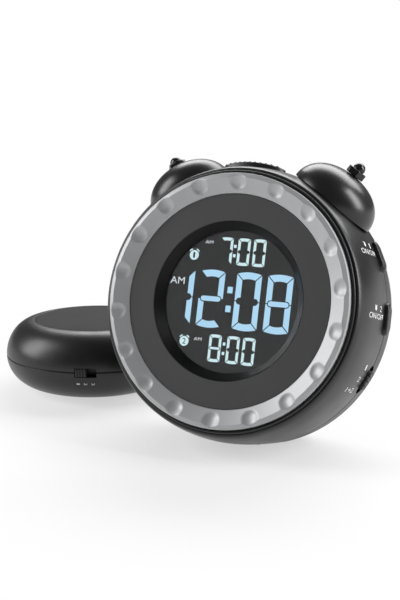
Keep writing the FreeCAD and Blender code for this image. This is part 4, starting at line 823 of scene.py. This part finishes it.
# The foot stands 1.5 mm over the switch, so that a full press of 1.2 mm clears it.
SNOOZE_FOOT = 49.1
oval = ellipse(SNOOZE_HALF_WIDTH, SNOOZE_HALF_DEPTH, 96)
snooze = capped("snooze_cap", oval, lambda x, y: math.sqrt((SNOOZE_TOP - 0.25) ** 2 - x * x), SNOOZE_EDGE,
                SNOOZE_FOOT)
moved(snooze, Matrix.Rotation(-math.pi / 2, 4, "X"))
join(snooze, snooze_ribs())
shifted(snooze, 0, 0, -SNOOZE_DEPTH)
# Soft-touch black ABS: a slightly deeper black than the case, with a low sheen.
key_abs = moulded("key_abs", "#101011", 0.42, 0.5, 0.01)
fit(snooze, key_abs, "snooze", ["snooze_key"])


# Four pill-shaped keys in satin black ABS, two on each side, which straddle the seam. Their tops follow
# the drum and stand 1.6 mm proud of it.
KEY_RISE = 1.6
KEY_EDGE = 0.7


def drum_rise(rise):
    """Height rule, in a key's own frame, of a surface that stands over the drum by a rise."""
    def height(x, y):
        depth = SIDE_DEPTH + x
        radius = side_radius(depth) if depth < SEAM_DEPTH else SEAM_RADIUS + 0.02 * (depth - SEAM_DEPTH)
        return math.sqrt((radius + rise) ** 2 - y * y)
    return height


key_places = {"alarm_1": KEY_ANGLES[0], "alarm_2": KEY_ANGLES[1], "plus": mirrored(KEY_ANGLES[0]),
              "minus": mirrored(KEY_ANGLES[1])}
for name, angle in key_places.items():
    cap = capped(name + "_cap", slot_outline(KEY_LENGTH, KEY_WIDTH, 20), drum_rise(KEY_RISE), KEY_EDGE, 52.8)
    fit(cap, key_abs, name, [name + "_key"], CLOCK @ radial(angle, SIDE_DEPTH))


# Two slide knobs, one a side: a rounded block with teeth across it that stand out of its slot, on a
# flat plate that closes the slot from inside.
KNOB_RISE = 1.3
TOOTH_DEPTH = 0.75
TEETH = 4
PLATE_TOP = 52.9


def toothed(x, y):
    """The knob's top: the drum's curve with rounded teeth, pointed a little like a saw."""
    share = (y / KNOB_LENGTH + 0.5) * TEETH
    wave = math.sin(math.pi * (share - math.floor(share)))
    return drum_rise(KNOB_RISE - TOOTH_DEPTH)(x, y) + TOOTH_DEPTH * min(1.0, 1.6 * max(0.0, wave))


for name, angle in (("mode", SLIDE_ANGLE), ("volume", mirrored(SLIDE_ANGLE))):
    half_x = KNOB_WIDTH / 2
    half_y = KNOB_LENGTH / 2
    across = [-half_x + KNOB_WIDTH * k / 12 for k in range(13)]
    along = [-half_y + KNOB_LENGTH * k / 64 for k in range(65)]

    def knob_point(x, y):
        """A point of the knob's top, drawn in to the rounded ends of its outline."""
        over = abs(y) - (half_y - half_x)
        wide = math.sqrt(max(0.0, half_x ** 2 - max(0.0, over) ** 2))
        x = x * max(wide, 0.3) / half_x
        edge = 0.5 * (1 - math.sqrt(max(0.0, 1 - max(0.0, abs(x) / half_x - 0.7) ** 2 / 0.09)))
        return x, y, toothed(x, y) - edge

    points = [knob_point(x, y) for y in along for x in across]
    n = len(across)
    faces = [(j * n + i, j * n + i + 1, (j + 1) * n + i + 1, (j + 1) * n + i) for j in range(64)
             for i in range(12)]
    rim = [i for i in range(n)] + [j * n + n - 1 for j in range(1, 65)] + [64 * n + i
        for i in range(n - 2, -1, -1)]
    rim += [j * n for j in range(63, 0, -1)]
    base = len(points)
    points += [(points[i][0], points[i][1], PLATE_TOP) for i in rim]
    m = len(rim)
    faces += [(rim[k], rim[(k + 1) % m], base + (k + 1) % m, base + k) for k in range(m)]
    faces.append(tuple(base + k for k in range(m)))
    knob = made(name + "_slider", points, faces)
    shutter = slot_outline(KNOB_LENGTH + 2 * (KNOB_TRAVEL + GAP), KNOB_WIDTH + 2.2)
    join(knob, prism("shutter", shutter, PLATE_TOP - 0.9, PLATE_TOP))
    fit(knob, key_abs, name, [name + "_knob"], CLOCK @ radial(angle, SIDE_DEPTH))


# White silk-screen ink beside the keys: plain numbers and signs on the case, a few hundredths of a
# millimetre thick, wrapped onto the surface that carries them.
INK_LIFT = 0.05
# Screen ink: an even, slightly chalky white with faintly ragged cover.
ink, tree = blank("white_screen_ink")
place = add(tree, "ShaderNodeTexCoord").outputs["Object"]
cover = add(tree, "ShaderNodeTexNoise", {"Vector": place, "Scale": 1 / (0.5 * MM), "Detail": 2.0})
tone = add(tree, "ShaderNodeMapRange", {"Value": cover.outputs["Fac"], "To Min": 0.0, "To Max": 1.0})
colour = add(tree, "ShaderNodeMix",
             {"Factor": tone.outputs["Result"], 6: srgb("#D2D2D2"), 7: srgb("#EDEDED")},
             data_type="RGBA")
shader = add(tree, "ShaderNodeBsdfPrincipled", {"Base Color": colour.outputs[2], "Roughness": 0.6})
add(tree, "ShaderNodeOutputMaterial", {"Surface": shader.outputs["BSDF"]})


def wrapped(piece, surface):
    """Bends flat lettering onto a surface; surface(u, v, lift) gives the point in the piece's own frame."""
    for vertex in piece.data.vertices:
        vertex.co = surface(vertex.co.x, vertex.co.y, INK_LIFT + vertex.co.z)
    return piece


def on_drum(angle, depth):
    """Letters read from front to back along the drum's side, with their tops towards a larger angle."""
    def surface(u, v, lift):
        d = depth + u
        r = side_radius(d) + lift
        t = math.radians(angle) + v / r
        return Vector((r * math.cos(t), r * math.sin(t), -d))
    return surface


def on_left(angle, depth):
    """The same on the left side, where front to back runs the other way for the eye."""
    def surface(u, v, lift):
        d = depth - u
        r = side_radius(d) + lift
        t = math.radians(angle) - v / r
        return Vector((r * math.cos(t), r * math.sin(t), -d))
    return surface


MARK_RADIUS = 1.0
MARK_BELL_INNER = 1.2
MARK_BELL_OUTER = 1.45
right_marks = [
    ("1", 1.4, 2.2, 29.4, 21.2), ("ON/OFF", 16.0, 2.2, 26.2, 17.0), ("2", 2.2, 2.2, 3.4, 21.2),
    ("ON/OFF", 16.0, 2.2, 0.2, 17.0), ("1", 1.4, 2.2, -20.6, 21.6), ("2", 2.4, 2.2, -25.9, 20.6),
    ("1+2", 8.0, 2.2, -31.2, 18.4)]
left_marks = [
    ("+", 2.2, 2.2, mirrored(26.1), 23.4), ("-", 2.2, 0.5, mirrored(0.1), 23.4),
    ("2", 1.6, 1.8, mirrored(-20.6), 23.4),
    ("1", 1.0, 1.8, mirrored(-25.9), 23.6), ("0", 1.6, 1.8, mirrored(-31.2), 23.4)]
marks = [wrapped(sized(lettering(text, 3), width, height), on_drum(angle, depth))
         for text, width, height, angle, depth in right_marks]
marks += [wrapped(sized(lettering(text, 3), width, height), on_left(angle, depth))
          for text, width, height, angle, depth in left_marks]
for angle in KEY_ANGLES:
    outlines = [ellipse(MARK_RADIUS, MARK_RADIUS, 24)]
    for middle in (50, 130):
        turns = [math.radians(middle - 20 + 10 * k) for k in range(5)]
        outlines.append(band(MARK_BELL_INNER, MARK_BELL_OUTER, turns))
    sign = join(*[prism("sign", outline, -LIT_THICKNESS / 2, LIT_THICKNESS / 2) for outline in outlines])
    marks.append(wrapped(sign, on_drum(angle + 3.3, 15.2)))
marks[0].name = "case_marks"
join(*marks)
fit(marks[0], ink, "clock")


# The battery door, a flat snap-in lid with finger ridges, and the round time-set key beside it.
ridges = []
for k in range(4):
    y = DOOR_Y - DOOR_HEIGHT / 2 + 3 + k * 1.6
    outline = [(px, py + y) for py, px in slot_outline(12, 0.8)]
    ridges.append(prism("ridge_tool", outline, -60, -DRUM_DEPTH + 0.4))
door = door_block(0, DRUM_DEPTH - DOOR_THICKNESS, DRUM_DEPTH)
door.name = "battery_lid"
softened = door.modifiers.new("edges", "BEVEL")
softened.width = 0.3
softened.segments = 2
plain(door)
cut(door, *ridges)
fit(door, satin_abs, "door", ["battery_door"])

dome = ellipse(REAR_KEY_RADIUS, REAR_KEY_RADIUS, 64)
time_key = capped("time_key_cap", dome, lambda x, y: 0.8 - 0.03 * (x * x + y * y) / 4, 0.5, -2.5)
fit(time_key, key_abs, "time_set", ["time_set_key"],
    CLOCK @ Matrix.Translation((REAR_KEY[0], REAR_KEY[1], -DRUM_DEPTH)) @ Matrix.Rotation(math.pi, 4, "X"))


# The puck's two shells in the same satin ABS, snapped and screwed together along a fine seam. The upper
# one rolls over to a flat top; the lower one is a bowl that lifts the puck off the table.
SHAKER_X = -99.2
SHAKER_Y = 44.5
SHAKER_TURN = math.radians(23.7)
SHAKER = (
    Matrix.Translation((SHAKER_X * MM, SHAKER_Y * MM, 0)) @ Matrix.Rotation(SHAKER_TURN, 4, "Z")
    @ Matrix.Scale(MM, 4)
)
SHAKER_RADIUS = 43.2
SHAKER_SEAM = 16.7
SHAKER_HEIGHT = 33.2
SHAKER_TOP_RADIUS = 29.4
SHAKER_BASE_RADIUS = 24.0
FOOT_PROUD = 0.8
SLOT_LENGTH = 10.2
SLOT_HEIGHT = 4.4
SLOT_Z = 16.6


def upper_curve(inset):
    turns = [math.pi / 2 * k / 30 for k in range(31)]
    return [(SHAKER_TOP_RADIUS - inset + (SHAKER_RADIUS - SHAKER_TOP_RADIUS) * math.cos(t),
             SHAKER_SEAM + (SHAKER_HEIGHT - SHAKER_SEAM - inset) * math.sin(t)) for t in turns]


def lower_curve(inset):
    turns = [math.pi / 2 * k / 30 for k in range(31)]
    spread = SHAKER_RADIUS - SHAKER_BASE_RADIUS
    return [(SHAKER_BASE_RADIUS - inset + spread * math.sin(t) ** 0.9,
             FOOT_PROUD + inset + (SHAKER_SEAM - FOOT_PROUD - inset) * (1 - math.cos(t))) for t in turns]


def shaker_openings():
    slot = block("slot_tool", (-SLOT_LENGTH / 2, -50, SLOT_Z - SLOT_HEIGHT / 2),
                 (SLOT_LENGTH / 2, -36, SLOT_Z + SLOT_HEIGHT / 2))
    mouth = prism("mouth_tool",
                  [(y, x + 16.2) for x, y in slot_outline(SOCKET_WIDTH + 2 * GAP, SOCKET_HEIGHT + 2 * GAP)],
                  36, 50)
    moved(mouth, Matrix(((1, 0, 0, 0), (0, 0, 1, 0), (0, 1, 0, 0), (0, 0, 0, 1))))
    return slot, mouth


wide = upper_curve(0)
upper_outline = [(SHAKER_RADIUS - WALL, SHAKER_SEAM), (SHAKER_RADIUS - 0.35, SHAKER_SEAM),
                 (SHAKER_RADIUS - 0.35, SHAKER_SEAM + 0.12),
                 (SHAKER_RADIUS - 0.05, SHAKER_SEAM + 0.4)] + wide[1:]
upper_outline += [(SHAKER_TOP_RADIUS - 0.25, SHAKER_HEIGHT), (SHAKER_TOP_RADIUS - 0.4, SHAKER_HEIGHT - 0.15),
                  (SHAKER_TOP_RADIUS - 0.4, SHAKER_HEIGHT - 0.8), (0, SHAKER_HEIGHT - 0.8), (0, 30.2)]
upper_outline += [p for p in upper_curve(WALL)[::-1] if p[1] < 30.2][:-1]
upper = turned("shaker_upper", upper_outline)
cut(upper, *shaker_openings())
fit(upper, satin_abs, "shaker", ["shaker_top_shell"], SHAKER)

low = lower_curve(0)
lower_outline = [(0, FOOT_PROUD)] + low[:-1] + [(SHAKER_RADIUS - 0.05, SHAKER_SEAM - 0.35),
                                                (SHAKER_RADIUS - 0.35, SHAKER_SEAM - 0.1),
                                                (SHAKER_RADIUS - WALL, SHAKER_SEAM - 0.1)]
lower_outline += lower_curve(WALL)[::-1][1:] + [(0, FOOT_PROUD + WALL)]
lower = turned("shaker_lower", lower_outline)
SHAKER_WELL = 2.4
SHAKER_SCREW_CIRCLE = 29
shaker_wells = []
for angle in (0, 180, 270):
    x = SHAKER_SCREW_CIRCLE * math.cos(math.radians(angle))
    y = SHAKER_SCREW_CIRCLE * math.sin(math.radians(angle))
    shaker_wells.append(prism("well_tool", ellipse(SHAKER_WELL, SHAKER_WELL, 24, x, y), -2, 6))
foot_groove = turned("groove_tool", [(18, -1), (22, -1), (22, 1.6), (18, 1.6)], 96)
cut(lower, foot_groove, *shaker_openings(), *shaker_wells)
tubes = []
for angle in (0, 180, 270):
    tube = turned("tube", [(1.2, 6), (3.4, 6), (3.4, SHAKER_SEAM), (1.2, SHAKER_SEAM)], 24)
    tubes.append(shifted(tube, 29 * math.cos(math.radians(angle)), 29 * math.sin(math.radians(angle)), 0))
join(lower, *tubes)
fit(lower, satin_abs, "shaker", ["shaker_bottom_shell"], SHAKER)


# A thin matt rubber disc laid into the puck's top, and a rubber ring under it.
inlay = turned("top_inlay", [(0, SHAKER_HEIGHT - 0.78), (SHAKER_TOP_RADIUS - 0.55, SHAKER_HEIGHT - 0.78),
                             (SHAKER_TOP_RADIUS - 0.55, SHAKER_HEIGHT - 0.15),
                             (SHAKER_TOP_RADIUS - 0.7, SHAKER_HEIGHT - 0.02),
                             (0, SHAKER_HEIGHT - 0.02)])
# Matt rubber: an even charcoal with almost no reflection.
matt_rubber = moulded("matt_rubber", "#333334", 0.82, 0.5, 0.012, specular=0.2, spread=0.04)
fit(inlay, matt_rubber, "shaker", ["shaker_inlay"], SHAKER)
foot = turned("foot_ring", [(18.05, 1.6), (18.05, 0.2), (18.25, 0), (21.75, 0), (21.95, 0.2), (21.95, 1.6)],
              96)
foot_rubber = moulded("foot_rubber", "#1B1B1C", 0.75, 0.5, 0.02, specular=0.25)
fit(foot, foot_rubber, "shaker", ["shaker_foot"], SHAKER)


# A small slide knob with four upright ribs, on a plate that closes its slot from inside. It rests at
# the low end.
KNOB_FACE = 43.3
LEVEL_LENGTH = 5.2
LEVEL_REST = -2.2
LEVEL_RIBS = 4
LEVEL_PLATE = 37.3
PLATE_THICKNESS = 0.9
PLATE_REACH = 8.0
knob_half = SLOT_HEIGHT / 2 - GAP
level = block("level_slider", (-LEVEL_LENGTH / 2, -KNOB_FACE + 0.7, -knob_half),
              (LEVEL_LENGTH / 2, -LEVEL_PLATE, knob_half))
pitch = LEVEL_LENGTH / LEVEL_RIBS
for k in range(LEVEL_RIBS):
    x = -LEVEL_LENGTH / 2 + pitch * (k + 0.5)
    rib = block("rib", (x - pitch * 0.3, -KNOB_FACE, -knob_half),
                (x + pitch * 0.3, -KNOB_FACE + 1.2, knob_half))
    rounded = rib.modifiers.new("edges", "BEVEL")
    rounded.width = 0.18
    rounded.segments = 3
    join(level, plain(rib))
join(level, block("shutter", (-PLATE_REACH, -LEVEL_PLATE, -knob_half - 1),
                  (PLATE_REACH, -LEVEL_PLATE + PLATE_THICKNESS, knob_half + 1)))
shifted(level, LEVEL_REST, 0, SLOT_Z)
fit(level, key_abs, "shaker_level", ["shaker_level_knob"], SHAKER)


def on_puck(turn, drop):
    """Numbers on the lower shell that read downwards from the seam."""
    rows = lower_curve(0)[::-1]

    def surface(u, v, lift):
        want = drop + u
        for (r0, z0), (r1, z1) in zip(rows, rows[1:]):
            step = math.hypot(r1 - r0, z1 - z0)
            if want <= step:
                break
            want -= step
        share = want / step
        r = r0 + (r1 - r0) * share
        z = z0 + (z1 - z0) * share
        t = -math.pi / 2 + (turn + v) / r
        out = Vector(((z0 - z1) / step, 0, -(r0 - r1) / step)) * lift
        return Vector(((r + out.x) * math.cos(t), (r + out.x) * math.sin(t), z + out.z))
    return surface


level_marks = [wrapped(sized(lettering(text, 3), width, 1.5), on_puck(turn, 5.6))
               for text, width, turn in (("1", 0.8, -3.4), ("2", 1.3, 0), ("3", 1.3, 3.4))]
level_marks[0].name = "level_marks"
join(*level_marks)
fit(level_marks[0], ink, "shaker", place=SHAKER)


# Parts that keep their CAD form and sit inside or at the back: boards in green solder resist, switch
# bodies, steel fixings, the speaker, the cells and the shaker's motor.
def metal(name, colour, roughness, grain, stretch=(1, 1, 1)):
    """A metal with a drawn or plated surface whose grain is given in millimetres."""
    material, tree = blank(name)
    place = add(tree, "ShaderNodeTexCoord").outputs["Object"]
    laid = add(tree, "ShaderNodeMapping", {"Vector": place, "Scale": stretch})
    lines = add(tree, "ShaderNodeTexNoise",
                {"Vector": laid.outputs[0], "Scale": 1 / (grain * MM), "Detail": 3.0})
    rough = add(tree, "ShaderNodeMapRange",
                {"Value": lines.outputs["Fac"], "To Min": roughness - 0.08, "To Max": roughness + 0.08})
    bump = add(tree, "ShaderNodeBump",
               {"Height": lines.outputs["Fac"], "Strength": 0.2, "Distance": 0.005 * MM})
    shader = add(tree, "ShaderNodeBsdfPrincipled", {
        "Base Color": srgb(colour), "Metallic": 1.0, "Roughness": rough.outputs["Result"],
        "Normal": bump.outputs["Normal"]})
    add(tree, "ShaderNodeOutputMaterial", {"Surface": shader.outputs["BSDF"]})
    return material


zinc = metal("zinc_plate", "#B9BCC0", 0.34, 0.6)
nickel = metal("nickel_plate", "#C9C4B8", 0.26, 0.8)
motor_steel = metal("drawn_steel_can", "#A9ABAE", 0.4, 0.4, (1, 8, 8))
sintered = metal("sintered_steel", "#7E7F82", 0.55, 0.3)
resist = moulded("green_solder_resist", "#14532F", 0.35, 0.8, 0.01)
white_pc = moulded("white_polycarbonate", "#E6E8EA", 0.45, 0.6, 0.006)
switch_pbt = moulded("switch_pbt", "#202022", 0.5, 0.4, 0.01)
enamel = moulded("dark_enamel", "#1E1F21", 0.4, 0.7, 0.01)
cell_wrap = moulded("cell_wrap", "#55585C", 0.3, 1.0, 0.004)
blue_sleeve = moulded("blue_sleeve", "#1F3E78", 0.35, 1.0, 0.006)
panel = bpy.data.materials["dark_panel"]
kept = {
    "lcd_panel": panel, "light_guide": white_pc, "display_tray": white_pc, "main_board": resist,
    "snooze_board": resist,
    "side_strip_left": resist, "side_strip_right": resist, "rear_board": resist, "shaker_board": resist,
    "shaker_socket_board": resist, "board_screws": zinc, "rear_screws": zinc, "shaker_screws": zinc,
    "bell_studs": zinc,
    "shaker_shaft": zinc, "snooze_switch": switch_pbt, "key_switches": switch_pbt,
    "slide_switches": switch_pbt,
    "rear_key_switch": switch_pbt, "shaker_level_switch": switch_pbt, "speaker": enamel,
    "battery_cells": cell_wrap,
    "battery_contacts": nickel, "power_socket": nickel, "shaker_socket": nickel, "shaker_motor_strap": nickel,
    "shaker_motor": motor_steel, "shaker_weight": sintered, "shaker_battery": blue_sleeve,
    "base_pad": foot_rubber}
for name, material in kept.items():
    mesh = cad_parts[name].data
    mesh.materials.clear()
    mesh.materials.append(material)


# A plain pale floor that fades into white with distance, and three large soft lights.
FLOOR_REACH = 3.0
floor = made("floor",
             [(-FLOOR_REACH, -FLOOR_REACH, 0), (FLOOR_REACH, -FLOOR_REACH, 0), (FLOOR_REACH, FLOOR_REACH, 0),
                       (-FLOOR_REACH, FLOOR_REACH, 0)], [(0, 1, 2, 3)])
pale, tree = blank("pale_floor")
place = add(tree, "ShaderNodeTexCoord").outputs["Object"]
away = add(tree, "ShaderNodeVectorMath", {0: place}, operation="LENGTH")
fade = add(tree, "ShaderNodeMapRange",
           {"Value": away.outputs["Value"], "From Min": 0.08, "From Max": 0.22, "To Min": 0.55,
                                        "To Max": 1.0})
path = add(tree, "ShaderNodeLightPath")
seen = add(tree, "ShaderNodeMath", {0: path.outputs["Is Camera Ray"], 1: path.outputs["Is Glossy Ray"]},
           operation="MAXIMUM")
either = add(tree, "ShaderNodeMath", {0: seen.outputs[0], 1: path.outputs["Is Transmission Ray"]},
             operation="MAXIMUM")
share = add(tree, "ShaderNodeMath", {0: fade.outputs["Result"], 1: either.outputs[0]}, operation="MULTIPLY")
lit = add(tree, "ShaderNodeBsdfDiffuse", {"Color": srgb("#F1F1F1")})
white = add(tree, "ShaderNodeEmission", {"Color": (1, 1, 1, 1), "Strength": 1.0})
mixed = add(tree, "ShaderNodeMixShader", {0: share.outputs[0], 1: lit.outputs[0], 2: white.outputs[0]})
add(tree, "ShaderNodeOutputMaterial", {"Surface": mixed.outputs[0]})
floor.data.materials.append(pale)

world = bpy.data.worlds.new("studio")
bpy.context.scene.world = world
world.use_nodes = True
tree = world.node_tree
tree.nodes.clear()
path = add(tree, "ShaderNodeLightPath")
seen = add(tree, "ShaderNodeMath", {0: path.outputs["Is Camera Ray"], 1: path.outputs["Is Transmission Ray"]},
           operation="MAXIMUM")
power = add(tree, "ShaderNodeMapRange", {"Value": seen.outputs[0], "To Min": 0.16, "To Max": 1.0})
sky = add(tree, "ShaderNodeBackground", {"Color": (1, 1, 1, 1), "Strength": power.outputs["Result"]})
add(tree, "ShaderNodeOutputWorld", {"Surface": sky.outputs[0]})


def softbox(name, place, aim, width, height, power):
    """A large soft light that faces a point."""
    lamp = bpy.data.lights.new(name, "AREA")
    lamp.shape = "RECTANGLE"
    lamp.size = width
    lamp.size_y = height
    lamp.energy = power
    holder = bpy.data.objects.new(name, lamp)
    bpy.context.scene.collection.objects.link(holder)
    holder.location = place
    holder.rotation_mode = "QUATERNION"
    holder.rotation_quaternion = (Vector(aim) - Vector(place)).to_track_quat("-Z", "Y")
    return holder


softbox("left_light", (-0.85, -0.35, 0.5), (0.0, 0.0, 0.06), 0.5, 0.7, 7.2)
softbox("right_light", (0.8, 0.15, 0.45), (0.0, 0.0, 0.06), 0.3, 0.7, 7)
softbox("back_light", (-0.05, 0.75, 0.75), (0.0, 0.0, 0.05), 1.4, 0.5, 12)

CAMERA_PLACE = Vector((168.26, -414.79, 147.48)) * MM
CAMERA_AZIMUTH = math.radians(24.63)
CAMERA_ELEVATION = math.radians(11.26)
CAMERA_LENS = 66.0
lens_data = bpy.data.cameras.new("photo_camera")
lens_data.lens = CAMERA_LENS
lens_data.sensor_width = 36.0
lens_data.clip_start = 0.01
lens_data.clip_end = 20.0
camera = bpy.data.objects.new("photo_camera", lens_data)
bpy.context.scene.collection.objects.link(camera)
camera.location = CAMERA_PLACE
camera.rotation_mode = "QUATERNION"
back = Vector((math.sin(CAMERA_AZIMUTH) * math.cos(CAMERA_ELEVATION),
               -math.cos(CAMERA_AZIMUTH) * math.cos(CAMERA_ELEVATION),
               math.sin(CAMERA_ELEVATION)))
camera.rotation_quaternion = (-back).to_track_quat("-Z", "Y")
bpy.context.scene.camera = camera
bpy.context.scene.view_settings.view_transform = "Standard"
